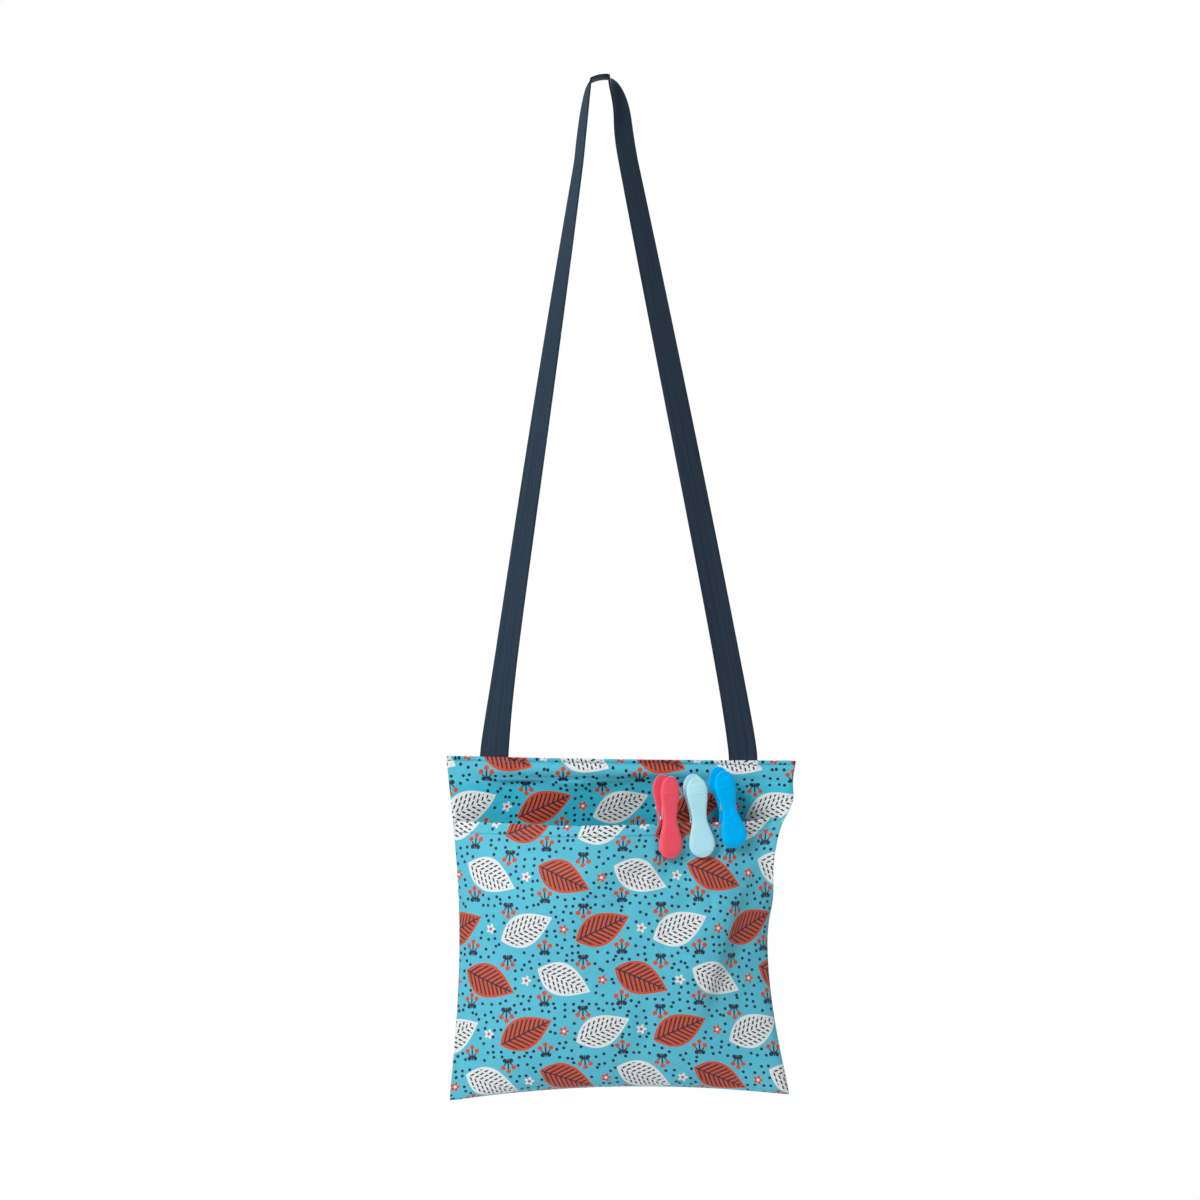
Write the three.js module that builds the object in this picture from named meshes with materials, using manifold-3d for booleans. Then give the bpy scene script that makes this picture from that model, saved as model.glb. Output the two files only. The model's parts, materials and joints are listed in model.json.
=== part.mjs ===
// Hanging peg bag: a printed cloth pocket on a long strap, with three spring pegs clipped to its mouth.
// Millimetres, +Z up, front towards -Y. The origin lies under the strap's crown, where a hook carries it.
import * as THREE from "three";
import { mergeVertices } from "three/addons/utils/BufferGeometryUtils.js";
import Module from "manifold-3d";

const wasm = await Module();
wasm.setup();

// Clearance between pieces that touch
const GAP = 0.3;

// Bag: outline of the sewn cloth, and how far its sides and bottom are drawn in
const BAG_WIDTH = 300;
const BAG_HEIGHT = 293;
const LEFT_TAPER = 3;
const RIGHT_TAPER = 6;
const LEFT_DRAW_IN = 8;
const RIGHT_DRAW_IN = 22;
const BOTTOM_ARCH = 9.5;
const BOTTOM_RISE = 5;

// Bag: cloth, bulges and the flat band along the top seam
const CLOTH = 1.0;
const BAND_HEIGHT = 14;
const BACK_BULGE = 28;
const LAYERS_MEET = 30;
const MOUTH_BULGE = 45;
const BELLY_FULLNESS = 0.8;

// Pocket mouth: its drop below the top edge, its hem, and the straight stretch that the pegs slide on
const MOUTH_DROP = 54;
const HEM_HEIGHT = 10;
const HEM_THICK = 2.0;
const UPRIGHT_HEIGHT = 40;

// The straight stretch leans forwards: not at all at FLARE_START across the bag, most from FLARE_FULL on
const MOUTH_FLARE = 8.5;
const FLARE_START = 0.25;
const FLARE_FULL = 0.6;
const FLARE_END_SPAN = 0.2;
const FLARE_ROUND = 9;

// Sewing
const THREAD = 0.3;
const HEM_STITCH_DROP = 8.6;
const TOP_STITCH_DROP = 3;
const STITCH_END_INSET = 3;
const OVERLOCK_WIDTH = 4.5;
const OVERLOCK_THICK = 0.8;
const OVERLOCK_INSET = 2.5;
const BOTTOM_OVERLOCK_INSET = 5;
const OVERLOCK_CORNER = 16;

// Strap: one loop from seam to seam, over a level crown
const STRAP_WIDTH = 25;
const STRAP_THICK = 1.6;
const LEFT_STRAP_INSET = 40.5;
const RIGHT_STRAP_INSET = 45;
const STRAP_DROP = 584.5;
const BAG_SHIFT = 18.3;
const TAIL_LENGTH = 10;
const HINGE_RISE = 45;
const LEG_LEAD = 40;
const LEG_PULL = 0.3;
const CROWN_LENGTH = 15;
const SHOULDER_WIDTH = 6;
const SHOULDER_DROP = 18;
const LEFT_TWIST = 74;
const RIGHT_TWIST = 46;
const CROWN_TWIST = 90;

// Pegs: two moulded halves each, that pivot on a spring's coil
const PEG_RISE = 35.5;
const PEG_REACH = 35.5;
const HEAD_RADIUS = 9.3;
const WAIST_HALF = 6.5;
const JAW_RADIUS = 11.5;
const JAW_WALL = 4.0;
const JAW_EASE = 0.5;
const END_THINNING = 0.3;
const END_THINNING_LENGTH = 7;
const HANDLE_SPLAY = 5.5;
const PEG_PITCH = 27.2;
const LAST_PEG_INSET = 56.4;
const LOW_PEG_GRIP = 7;
const BLUE_PEG_GRIP = 14.5;
const PEGS = [
  { name: "red_peg", colour: 0xe5546a, turn: 31, lean: 4, grip: LOW_PEG_GRIP },
  { name: "aqua_peg", colour: 0xa9dbe6, turn: 9, lean: 7.8, grip: LOW_PEG_GRIP },
  { name: "blue_peg", colour: 0x04a9ee, turn: 18, lean: 15.6, grip: BLUE_PEG_GRIP },
];

// Peg springs
const WIRE = 1.4;
const COIL_RADIUS = 3.0;
const COIL_TURNS = 4.5;
const COIL_SPACE = 0.5;
const ARM_LENGTH = 18;
const CURL_STEPS = 8;
const WIRE_SIDES = 5;

// Mesh steps
const PANEL_COLUMNS = 28;
const PANEL_ROWS = 14;
const LEG_STEPS = 16;
const SHOULDER_STEPS = 6;
const PEG_WAIST_STEPS = 14;
const PEG_END_STEPS = 5;
const THREAD_SIDES = 4;
const FOLD_STEPS = 6;

const DEGREE = Math.PI / 180;
const { clamp, lerp, smoothstep } = THREE.MathUtils;

// Places that follow from the sizes above
const BAND_SHARE = BAND_HEIGHT / BAG_HEIGHT;
const POCKET_HEIGHT = BAG_HEIGHT - MOUTH_DROP;
const STRAP_FEET = [
  { label: "left", side: -1, x: LEFT_STRAP_INSET - BAG_WIDTH / 2, twist: LEFT_TWIST },
  { label: "right", side: 1, x: BAG_WIDTH / 2 - RIGHT_STRAP_INSET, twist: RIGHT_TWIST },
];
const LINING_SEAM_Y = -(STRAP_THICK / 2 + GAP + CLOTH);
const POCKET_SEAM_Y = LINING_SEAM_Y - GAP - HEM_THICK;
const JAW_INNER = HEM_THICK / 2 + GAP + THREAD + GAP + JAW_EASE;
const COIL_SEAT = COIL_RADIUS + GAP;
const OUT_OF_THE_WAY = 5;

const cloth = () => new THREE.MeshStandardMaterial({ color: 0x5ab8ce, roughness: 0.9, metalness: 0 });
const webbing = () => new THREE.MeshStandardMaterial({ color: 0x2b3a4a, roughness: 0.85, metalness: 0 });
const yarn = () => new THREE.MeshStandardMaterial({ color: 0x4fa9bf, roughness: 0.8, metalness: 0 });
const wire = () => new THREE.MeshStandardMaterial({ color: 0xc9ccd0, roughness: 0.3, metalness: 1 });
const plastic = (color) => new THREE.MeshStandardMaterial({ color, roughness: 0.42, metalness: 0 });

// A geometry from points and triangles, with its faces turned outwards
function closedGeometry(points, triangles) {
  const corner = (index) => points[index];
  let volume = 0;
  for (let first = 0; first < triangles.length; first += 3) {
    const [a, b, c] = triangles.slice(first, first + 3).map(corner);
    volume += a.dot(b.clone().cross(c));
  }
  const faces = volume < 0 ? triangles.toReversed() : triangles;
  const geometry = new THREE.BufferGeometry().setFromPoints(points);
  geometry.setIndex(faces);
  geometry.computeVertexNormals();
  return geometry;
}

// A closed solid through a row of convex rings that all have the same number of points
function loft(rings) {
  const sides = rings[0].length;
  const triangles = [];
  for (let ring = 0; ring + 1 < rings.length; ring += 1) {
    for (let side = 0; side < sides; side += 1) {
      const a = ring * sides + side;
      const b = ring * sides + (side + 1) % sides;
      triangles.push(a, b, b + sides, a, b + sides, a + sides);
    }
  }
  const last = (rings.length - 1) * sides;
  for (let side = 1; side + 1 < sides; side += 1) {
    triangles.push(0, side + 1, side);
    triangles.push(last, last + side, last + side + 1);
  }
  return closedGeometry(rings.flat(), triangles);
}

// A closed sheet between a front and a back surface, both given over the same columns and rows
function sheet(columns, rows, front, back) {
  const across = columns.length;
  const grid = (face) => rows.flatMap((row) => columns.map((column) => face(column, row)));
  const points = [...grid(front), ...grid(back)];
  const behind = across * rows.length;
  const triangles = [];
  const quad = (a, b, c, d) => triangles.push(a, b, c, a, c, d);
  const right = across - 1;
  const bottom = behind - across;
  for (let start = 0; start < bottom; start += across) {
    for (let a = start; a < start + right; a += 1) {
      quad(a, a + 1, a + across + 1, a + across);
      quad(a + behind, a + across + behind, a + across + 1 + behind, a + 1 + behind);
    }
    quad(start, start + across, start + across + behind, start + behind);
    quad(start + across + right, start + right, start + right + behind, start + across + right + behind);
  }
  for (let a = 0; a < right; a += 1) {
    quad(a + 1, a, a + behind, a + 1 + behind);
    quad(a + bottom, a + bottom + 1, a + bottom + 1 + behind, a + bottom + behind);
  }
  return closedGeometry(points, triangles);
}

// A round tube along points, with its section carried along without twist
function tube(points, radius, sides) {
  const last = points.length - 1;
  const along = points.map((_, i) => {
    const before = points[Math.max(i - 1, 0)];
    return points[Math.min(i + 1, last)].clone().sub(before).normalize();
  });
  let side = new THREE.Vector3(0, 0, 1).cross(along[0]);
  if (side.length() < 0.1) {
    side = new THREE.Vector3(1, 0, 0).cross(along[0]);
  }
  const rings = points.map((point, i) => {
    side.addScaledVector(along[i], -side.dot(along[i])).normalize();
    const up = along[i].clone().cross(side);
    return Array.from({ length: sides }, (_, k) => {
      const angle = 2 * Math.PI * k / sides;
      const aside = point.clone().addScaledVector(side, radius * Math.cos(angle));
      return aside.addScaledVector(up, radius * Math.sin(angle));
    });
  });
  return loft(rings);
}

function solidOf(geometry) {
  const bare = geometry.clone();
  bare.deleteAttribute("normal");
  bare.deleteAttribute("uv");
  const merged = mergeVertices(bare);
  const mesh = new wasm.Mesh({
    numProp: 3,
    vertProperties: Float32Array.from(merged.getAttribute("position").array),
    triVerts: Uint32Array.from(merged.getIndex().array),
  });
  return new wasm.Manifold(mesh);
}

function geometryOf(solid) {
  const mesh = solid.getMesh();
  const geometry = new THREE.BufferGeometry();
  geometry.setAttribute("position", new THREE.BufferAttribute(Float32Array.from(mesh.vertProperties), 3));
  geometry.setIndex(Array.from(mesh.triVerts));
  geometry.computeVertexNormals();
  return geometry;
}

function piece(parent, name, geometry, material) {
  const mesh = new THREE.Mesh(geometry, material);
  mesh.name = name;
  parent.add(mesh);
  return mesh;
}

const range = (from, to, steps) => Array.from({ length: steps + 1 }, (_, i) => lerp(from, to, i / steps));

// Outline of the bag: u runs from -1 at the left seam to 1 at the right, t from 0 at the top to 1 below
function halfWidth(u, t) {
  const taper = u < 0 ? LEFT_TAPER : RIGHT_TAPER;
  const drawIn = u < 0 ? LEFT_DRAW_IN : RIGHT_DRAW_IN;
  return BAG_WIDTH / 2 - taper * t - drawIn * Math.sin(Math.PI * t);
}

function bottomDepth(u) {
  return BAG_HEIGHT - BOTTOM_ARCH * (1 - u * u) - BOTTOM_RISE * (1 + u) / 2;
}

function onBag(u, t, y) {
  return new THREE.Vector3(u * halfWidth(u, t), y, -t * bottomDepth(u));
}

// The lining hangs flat in the top band, then swells backwards
function liningFront(u, t) {
  const fall = clamp((t - BAND_SHARE) / (1 - BAND_SHARE), 0, 1);
  return LINING_SEAM_Y + BACK_BULGE * (1 - u * u) * Math.sin(Math.PI * fall);
}

// The outer back stands off by the strap's thickness at the band, and settles on the lining below it
function backFront(u, t) {
  const settled = smoothstep((t - BAND_SHARE) * BAG_HEIGHT, 0, LAYERS_MEET);
  return liningFront(u, t) + CLOTH + lerp(STRAP_THICK + 2 * GAP, GAP, settled);
}

// The hem right of the mouth's middle: level there, at its own turn in each peg, and back at the side seam
const MOUTH_HALF = halfWidth(1, MOUTH_DROP / BAG_HEIGHT);
const pegX = (index) => BAG_WIDTH / 2 - LAST_PEG_INSET - PEG_PITCH * (PEGS.length - 1 - index);

function hemStations() {
  const stations = [{ x: 0, slope: 0, back: 0 }];
  const reach = (x, slope) => {
    const before = stations.at(-1);
    stations.push({ x, slope, back: before.back + (x - before.x) * (before.slope + slope) / 2 });
  };
  PEGS.forEach((peg, index) => reach(pegX(index), Math.tan(peg.turn * DEGREE)));
  const last = stations.at(-1);
  reach(MOUTH_HALF, 2 * (MOUTH_BULGE - last.back) / (MOUTH_HALF - last.x) - last.slope);
  return stations;
}

const HEM_STATIONS = hemStations();

// Plan of the mouth: a round crown on the left, and on the right a hem that bends between the pegs
function crown(u) {
  if (u < 0) {
    return 1 - u * u;
  }
  const x = u * MOUTH_HALF;
  const next = Math.max(1, HEM_STATIONS.findIndex((station) => station.x >= x - GAP));
  const [from, to] = HEM_STATIONS.slice(next - 1, next + 1);
  const along = x - from.x;
  const bend = (to.slope - from.slope) / (to.x - from.x);
  return 1 - (from.back + along * from.slope + bend * along * along / 2) / MOUTH_BULGE;
}

// How far the cloth falls back below the hem, where the straight stretch leans forwards
function fallBack(u, drop) {
  const across = clamp((u - FLARE_START) / (FLARE_FULL - FLARE_START), 0, 1);
  const slope = Math.tan(MOUTH_FLARE * DEGREE) * across * clamp((1 - u) / FLARE_END_SPAN, 0, 1);
  const past = drop - UPRIGHT_HEIGHT + FLARE_ROUND;
  const rounding = clamp(past, 0, 2 * FLARE_ROUND) ** 2 / (4 * FLARE_ROUND);
  return slope * (Math.min(drop, UPRIGHT_HEIGHT + FLARE_ROUND) - rounding);
}

// The pocket front: s runs from 0 at the mouth to 1 at the bottom
function pocketFront(u, s) {
  const upright = UPRIGHT_HEIGHT / POCKET_HEIGHT;
  const fall = clamp((s - upright) / (1 - upright), 0, 1);
  const depth = MOUTH_BULGE * crown(u) - fallBack(u, s * POCKET_HEIGHT);
  return POCKET_SEAM_Y - depth * Math.cos(Math.PI / 2 * fall) ** BELLY_FULLNESS;
}

function onPocket(u, s, behind) {
  const mouth = MOUTH_DROP / bottomDepth(u);
  return onBag(u, lerp(mouth, 1, s), pocketFront(u, s) + behind);
}

// Rows that step sharply where a fold of cloth ends
const FOLD_STEP = 0.5;
function rowsPast(fold, height) {
  return [0, fold / height, ...range((fold + FOLD_STEP) / height, 1, PANEL_ROWS)];
}

const columns = range(-1, 1, PANEL_COLUMNS);

function liningPanel() {
  const rows = rowsPast(BAND_HEIGHT, BAG_HEIGHT);
  const face = (behind) => (u, t) => onBag(u, t, liningFront(u, t) + behind);
  return sheet(columns, rows, face(0), face(CLOTH));
}

// The outer back, with its turned-in edge thick along the top and a slot in it for each strap tail
function backPanel() {
  const rows = rowsPast(BAND_HEIGHT, BAG_HEIGHT);
  const turnedIn = (t) => (t <= BAND_SHARE ? STRAP_THICK + GAP : 0);
  const front = (u, t) => onBag(u, t, backFront(u, t) - turnedIn(t));
  const panel = sheet(columns, rows, front, (u, t) => onBag(u, t, backFront(u, t) + CLOTH));
  const slotDepth = TAIL_LENGTH + GAP;
  const slotThick = STRAP_THICK + 2 * GAP;
  const slot = new THREE.BoxGeometry(STRAP_WIDTH + 2 * GAP, slotThick, slotDepth + OUT_OF_THE_WAY);
  slot.translate(0, 0, (OUT_OF_THE_WAY - slotDepth) / 2);
  let solid = solidOf(panel);
  for (const { x } of STRAP_FEET) {
    solid = solid.subtract(solidOf(slot.clone().translate(x, 0, 0)));
  }
  return geometryOf(solid);
}

function pocketPanel() {
  const rows = rowsPast(HEM_HEIGHT, POCKET_HEIGHT);
  const thick = (s) => (s <= HEM_HEIGHT / POCKET_HEIGHT ? HEM_THICK : CLOTH);
  return sheet(columns, rows, (u, s) => onPocket(u, s, 0), (u, s) => onPocket(u, s, thick(s)));
}

// A strap tail: caught in the top seam, and rounded at its upper end where the strap bends
function strapTail() {
  const half = STRAP_THICK / 2;
  const outline = new THREE.Shape();
  outline.moveTo(-half, -TAIL_LENGTH);
  outline.lineTo(half, -TAIL_LENGTH);
  outline.lineTo(half, HINGE_RISE);
  outline.absarc(0, HINGE_RISE, half, 0, Math.PI, false);
  outline.lineTo(-half, -TAIL_LENGTH);
  const options = { depth: STRAP_WIDTH, bevelEnabled: false, curveSegments: FOLD_STEPS };
  const tail = new THREE.ExtrudeGeometry(outline, options);
  tail.translate(0, 0, -STRAP_WIDTH / 2);
  tail.rotateX(Math.PI / 2);
  tail.rotateZ(Math.PI / 2);
  return mergeVertices(tail.deleteAttribute("normal").deleteAttribute("uv"));
}

// Stitch lines: a thread that lies along the cloth, and ends short of the side seams
const STITCH_END = 1 - STITCH_END_INSET / (BAG_WIDTH / 2);

function hemStitching() {
  const s = HEM_STITCH_DROP / POCKET_HEIGHT;
  const places = range(-STITCH_END, STITCH_END, 2 * PANEL_COLUMNS);
  const line = places.map((u) => onPocket(u, s, -GAP - THREAD / 2));
  return tube(line, THREAD / 2, THREAD_SIDES);
}

function topStitching() {
  const t = TOP_STITCH_DROP / BAG_HEIGHT;
  const places = range(-STITCH_END, STITCH_END, PANEL_COLUMNS);
  const line = places.map((u) => onBag(u, t, liningFront(u, t) - GAP - THREAD / 2));
  return tube(line, THREAD / 2, THREAD_SIDES);
}

// Overlocked seam allowances: narrow bound strips that lie on the lining, inside the pocket
function overlock(acrossU, alongT) {
  const behind = (u, t) => onBag(u, t, liningFront(u, t) - GAP);
  return sheet(acrossU, alongT, (u, t) => onBag(u, t, liningFront(u, t) - GAP - OVERLOCK_THICK), behind);
}

function sideOverlock(side) {
  const outer = 1 - OVERLOCK_INSET / (BAG_WIDTH / 2);
  const inner = outer - OVERLOCK_WIDTH / (BAG_WIDTH / 2);
  const start = (MOUTH_DROP + HEM_HEIGHT + OVERLOCK_WIDTH) / (BAG_HEIGHT - BOTTOM_ARCH);
  const end = 1 - OVERLOCK_CORNER / BAG_HEIGHT;
  return overlock(side < 0 ? [-outer, -inner] : [inner, outer], range(start, end, PANEL_ROWS));
}

function bottomOverlock() {
  const outer = 1 - BOTTOM_OVERLOCK_INSET / BAG_HEIGHT;
  const end = 1 - OVERLOCK_CORNER / (BAG_WIDTH / 2);
  return overlock(range(-end, end, PANEL_COLUMNS), [outer - OVERLOCK_WIDTH / BAG_HEIGHT, outer]);
}

// The strap's middle line in the XZ plane from the left seam, over the crown, to the right seam
function strapRoute() {
  const middle = STRAP_THICK / 2;
  const hingeZ = -STRAP_DROP + HINGE_RISE + STRAP_THICK / 2 + GAP;
  const stations = [];
  const leg = ({ side, x, twist }) => {
    const foot = new THREE.Vector2(BAG_SHIFT + x, hingeZ);
    const lead = new THREE.Vector2(foot.x, hingeZ + LEG_LEAD);
    const top = new THREE.Vector2(side * (CROWN_LENGTH / 2 + SHOULDER_WIDTH), -SHOULDER_DROP);
    const rise = top.clone().sub(lead).normalize();
    const bend = top.clone().addScaledVector(rise, (middle - top.y) / rise.y);
    const leaning = new THREE.CubicBezierCurve(foot, lead, lead.clone().lerp(top, LEG_PULL), top);
    const crownEnd = new THREE.Vector2(side * CROWN_LENGTH / 2, middle);
    const rounding = new THREE.QuadraticBezierCurve(top, bend, crownEnd);
    const onLeg = range(0, 1, LEG_STEPS).map((q) => [leaning, q, twist * Math.sqrt(q)]);
    const overShoulder = range(0, 1, SHOULDER_STEPS).slice(1);
    const turning = (q) => lerp(twist, CROWN_TWIST, smoothstep(q, 0, 1));
    return [...onLeg, ...overShoulder.map((q) => [rounding, q, turning(q)])];
  };
  for (const strapFoot of STRAP_FEET) {
    const upwards = leg(strapFoot).map(([curve, q, turn]) => {
      const tangent = curve.getTangent(q).multiplyScalar(-strapFoot.side);
      return { at: curve.getPoint(q), tangent, turn: turn * DEGREE };
    });
    stations.push(...(strapFoot.side < 0 ? upwards : upwards.reverse()));
  }
  return stations;
}

// The strap: flat across the seams and edge-on over the crown, its inner edge turning to the front
function strapLoop() {
  const rings = strapRoute().map(({ at, tangent, turn }) => {
    const along = new THREE.Vector3(tangent.x, 0, tangent.y);
    const inward = new THREE.Vector3(tangent.y, 0, -tangent.x);
    const across = inward.multiplyScalar(Math.cos(turn)).add(new THREE.Vector3(0, -Math.sin(turn), 0));
    const through = along.clone().cross(across);
    const middle = new THREE.Vector3(at.x, 0, at.y);
    const corner = (a, b) => {
      const edge = middle.clone().addScaledVector(across, a * STRAP_WIDTH / 2);
      return edge.addScaledVector(through, b * STRAP_THICK / 2);
    };
    return [corner(1, 1), corner(-1, 1), corner(-1, -1), corner(1, -1)];
  });
  return loft(rings);
}

// One half of a peg in its own frame: the coil's axis is X, the handle goes up Z, the cloth is at y = 0
function pegInner(z) {
  const seat = Math.sqrt(Math.max(0, COIL_SEAT ** 2 - z * z));
  const handle = z > 0 ? COIL_SEAT + z * Math.tan(HANDLE_SPLAY * DEGREE) : 0;
  return Math.max(JAW_INNER, seat, handle);
}

function pegOuter(z) {
  const splay = Math.max(0, z) * Math.tan(HANDLE_SPLAY * DEGREE);
  const fromEnd = z > 0 ? PEG_RISE - z : PEG_REACH + z;
  const thinning = END_THINNING * JAW_WALL * (1 - smoothstep(fromEnd, 0, END_THINNING_LENGTH));
  return JAW_INNER + JAW_WALL + splay - thinning;
}

function pegHalfWidth(z) {
  const headZ = PEG_RISE - HEAD_RADIUS;
  const jawZ = JAW_RADIUS - PEG_REACH;
  if (z >= headZ) {
    return Math.sqrt(Math.max(0, HEAD_RADIUS ** 2 - (z - headZ) ** 2));
  }
  if (z <= jawZ) {
    return Math.sqrt(Math.max(0, JAW_RADIUS ** 2 - (z - jawZ) ** 2));
  }
  const widest = z > 0 ? HEAD_RADIUS : JAW_RADIUS;
  const end = z > 0 ? headZ : jawZ;
  return lerp(WAIST_HALF, widest, smoothstep(z / end, 0, 1));
}

// Heights of a peg's sections: close together round both ends and over the coil's seat
function pegHeights() {
  const headZ = PEG_RISE - HEAD_RADIUS;
  const jawZ = JAW_RADIUS - PEG_REACH;
  const arc = range(Math.PI / 2, Math.PI / 2 / (PEG_END_STEPS + 1), PEG_END_STEPS);
  const head = arc.map((angle) => headZ + HEAD_RADIUS * Math.cos(angle)).reverse();
  const jaw = arc.map((angle) => jawZ - JAW_RADIUS * Math.cos(angle));
  const seat = range(COIL_SEAT, -COIL_SEAT, CURL_STEPS);
  const handle = range(headZ, COIL_SEAT, PEG_WAIST_STEPS / 2).slice(1, -1);
  const neck = range(-COIL_SEAT, jawZ, PEG_WAIST_STEPS / 2).slice(1, -1);
  return [...head, ...handle, ...seat, ...neck, ...jaw];
}

// Half of a section, from the inner face round to the crowned outer face, as shares of its width and wall
const PEG_SECTION = [[1, 0], [1, 0.5], [0.86, 0.85], [0.45, 1]];

function pegHalf(facing) {
  const rings = pegHeights().map((z) => {
    const half = pegHalfWidth(z);
    const inner = pegInner(z);
    const outer = pegOuter(z);
    const sectionSide = (side) => PEG_SECTION.map(([across, through]) => {
      return new THREE.Vector3(side * across * half, facing * lerp(inner, outer, through), z);
    });
    const rightSide = sectionSide(1);
    const leftSide = sectionSide(-1);
    return [...rightSide, ...leftSide.reverse()];
  });
  return loft(rings);
}

// The spring's wire: down the front arm, round the coil, and up the rear arm
function springLine() {
  const middle = COIL_RADIUS - WIRE / 2;
  const pitch = WIRE + COIL_SPACE;
  const length = COIL_TURNS * pitch;
  const lean = Math.tan(HANDLE_SPLAY * DEGREE);
  const arm = (facing, z) => new THREE.Vector3(facing * length / 2, facing * (middle + z * lean), z);
  const armHeights = range(ARM_LENGTH, WIRE, 2);
  const coil = range(0, COIL_TURNS, COIL_TURNS * CURL_STEPS).map((turn) => {
    const angle = Math.PI + 2 * Math.PI * turn;
    return new THREE.Vector3(-length / 2 + pitch * turn, middle * Math.cos(angle), middle * Math.sin(angle));
  });
  const frontArm = armHeights.map((z) => arm(-1, z));
  const rearArm = armHeights.map((z) => arm(1, z)).reverse();
  return [...frontArm, ...coil, ...rearArm];
}

// The narrowest space between turns of the wire, measured between its points
function leastSpace(line) {
  let least = Infinity;
  for (let a = 0; a < line.length; a += 1) {
    for (let b = a + CURL_STEPS / 2; b < line.length; b += 1) {
      least = Math.min(least, line[a].distanceTo(line[b]) - WIRE);
    }
  }
  return least;
}

// A peg stands on the mouth's hem: square to the cloth there, leaning in the cloth's plane
function addPeg(bag, { name, colour, lean, grip }, index) {
  const u = pegX(index) / MOUTH_HALF;
  const jawShare = JAW_RADIUS / BAG_WIDTH;
  const across = onPocket(u + jawShare, 0, 0).sub(onPocket(u - jawShare, 0, 0)).normalize();
  const up = onPocket(u, 0, 0).sub(onPocket(u, JAW_RADIUS / POCKET_HEIGHT, 0));
  up.addScaledVector(across, -up.dot(across)).normalize();
  const square = new THREE.Matrix4().makeBasis(across, up.clone().cross(across), up);
  const turned = square.multiply(new THREE.Matrix4().makeRotationY(-lean * DEGREE));
  const peg = new THREE.Group();
  peg.setRotationFromMatrix(turned);
  peg.position.set(0, 0, grip).applyMatrix4(turned).add(onPocket(u, 0, HEM_THICK / 2));
  bag.add(peg);
  piece(peg, `${name}_rear_half`, pegHalf(1), plastic(colour));
  piece(peg, `${name}_front_half`, pegHalf(-1), plastic(colour));
  piece(peg, `${name}_spring`, tube(springLine(), WIRE / 2, WIRE_SIDES), wire());
}

function pegBag() {
  const whole = new THREE.Group();
  piece(whole, "strap_loop", strapLoop(), webbing());
  const bag = new THREE.Group();
  bag.position.set(BAG_SHIFT, 0, -STRAP_DROP);
  whole.add(bag);
  piece(bag, "back_panel", backPanel(), cloth());
  piece(bag, "lining_panel", liningPanel(), cloth());
  piece(bag, "pocket_panel", pocketPanel(), cloth());
  piece(bag, "mouth_hem_stitching", hemStitching(), yarn());
  piece(bag, "top_edge_stitching", topStitching(), yarn());
  for (const { label, side, x } of STRAP_FEET) {
    piece(bag, `strap_tail_${label}`, strapTail(), webbing()).position.x = x;
    piece(bag, `${label}_seam_overlock`, sideOverlock(side), yarn());
  }
  piece(bag, "bottom_seam_overlock", bottomOverlock(), yarn());
  PEGS.forEach((peg, index) => addPeg(bag, peg, index));
  return whole;
}

console.log(`least space between the springs' turns: ${leastSpace(springLine()).toFixed(2)} mm`);

export default pegBag();
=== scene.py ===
import json
import math

import bmesh
import bpy
import numpy as np
from mathutils import Matrix, Vector


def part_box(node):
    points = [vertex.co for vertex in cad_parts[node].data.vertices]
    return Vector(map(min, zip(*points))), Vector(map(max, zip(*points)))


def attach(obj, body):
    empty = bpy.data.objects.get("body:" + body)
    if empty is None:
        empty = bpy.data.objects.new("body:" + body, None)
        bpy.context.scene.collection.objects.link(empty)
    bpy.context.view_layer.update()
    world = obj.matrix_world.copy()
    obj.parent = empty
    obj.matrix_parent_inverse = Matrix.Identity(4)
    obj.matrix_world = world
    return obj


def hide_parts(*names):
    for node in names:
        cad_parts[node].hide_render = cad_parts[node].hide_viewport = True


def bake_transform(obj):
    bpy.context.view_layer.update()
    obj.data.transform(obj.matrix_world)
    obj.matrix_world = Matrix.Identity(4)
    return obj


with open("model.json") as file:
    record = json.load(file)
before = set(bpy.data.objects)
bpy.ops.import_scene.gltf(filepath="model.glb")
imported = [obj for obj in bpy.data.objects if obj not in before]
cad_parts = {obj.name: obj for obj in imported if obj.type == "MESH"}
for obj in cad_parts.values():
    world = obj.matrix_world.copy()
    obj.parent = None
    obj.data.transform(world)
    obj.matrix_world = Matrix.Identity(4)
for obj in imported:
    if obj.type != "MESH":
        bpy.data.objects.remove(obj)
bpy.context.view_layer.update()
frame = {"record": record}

MM = 0.001
DEGREE = math.pi / 180

# Places and sizes that the frame gives
JOINTS = {joint["name"]: joint for joint in frame["record"]["behaviour"]["joints"]}
HINGE = Vector(JOINTS["bag_swing"]["pos_m"])
LINING_LOW, LINING_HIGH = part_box("lining_panel")
TAILS = {-1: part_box("strap_tail_left"), 1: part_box("strap_tail_right")}
BAG_X = HINGE.x
BAG_TOP = LINING_HIGH.z
BAG_HALF_WIDTH = (LINING_HIGH.x - LINING_LOW.x) / 2
BAG_HEIGHT = LINING_HIGH.z - LINING_LOW.z
MOUTH_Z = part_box("pocket_panel")[1].z
MOUTH_DROP = BAG_TOP - MOUTH_Z
POCKET_HEIGHT = BAG_HEIGHT - MOUTH_DROP
STRAP_WIDTH = TAILS[1][1].x - TAILS[1][0].x
STRAP_THICK = TAILS[1][1].y - TAILS[1][0].y
STRAP_FEET = {side: (low.x + high.x) / 2 for side, (low, high) in TAILS.items()}

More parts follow.
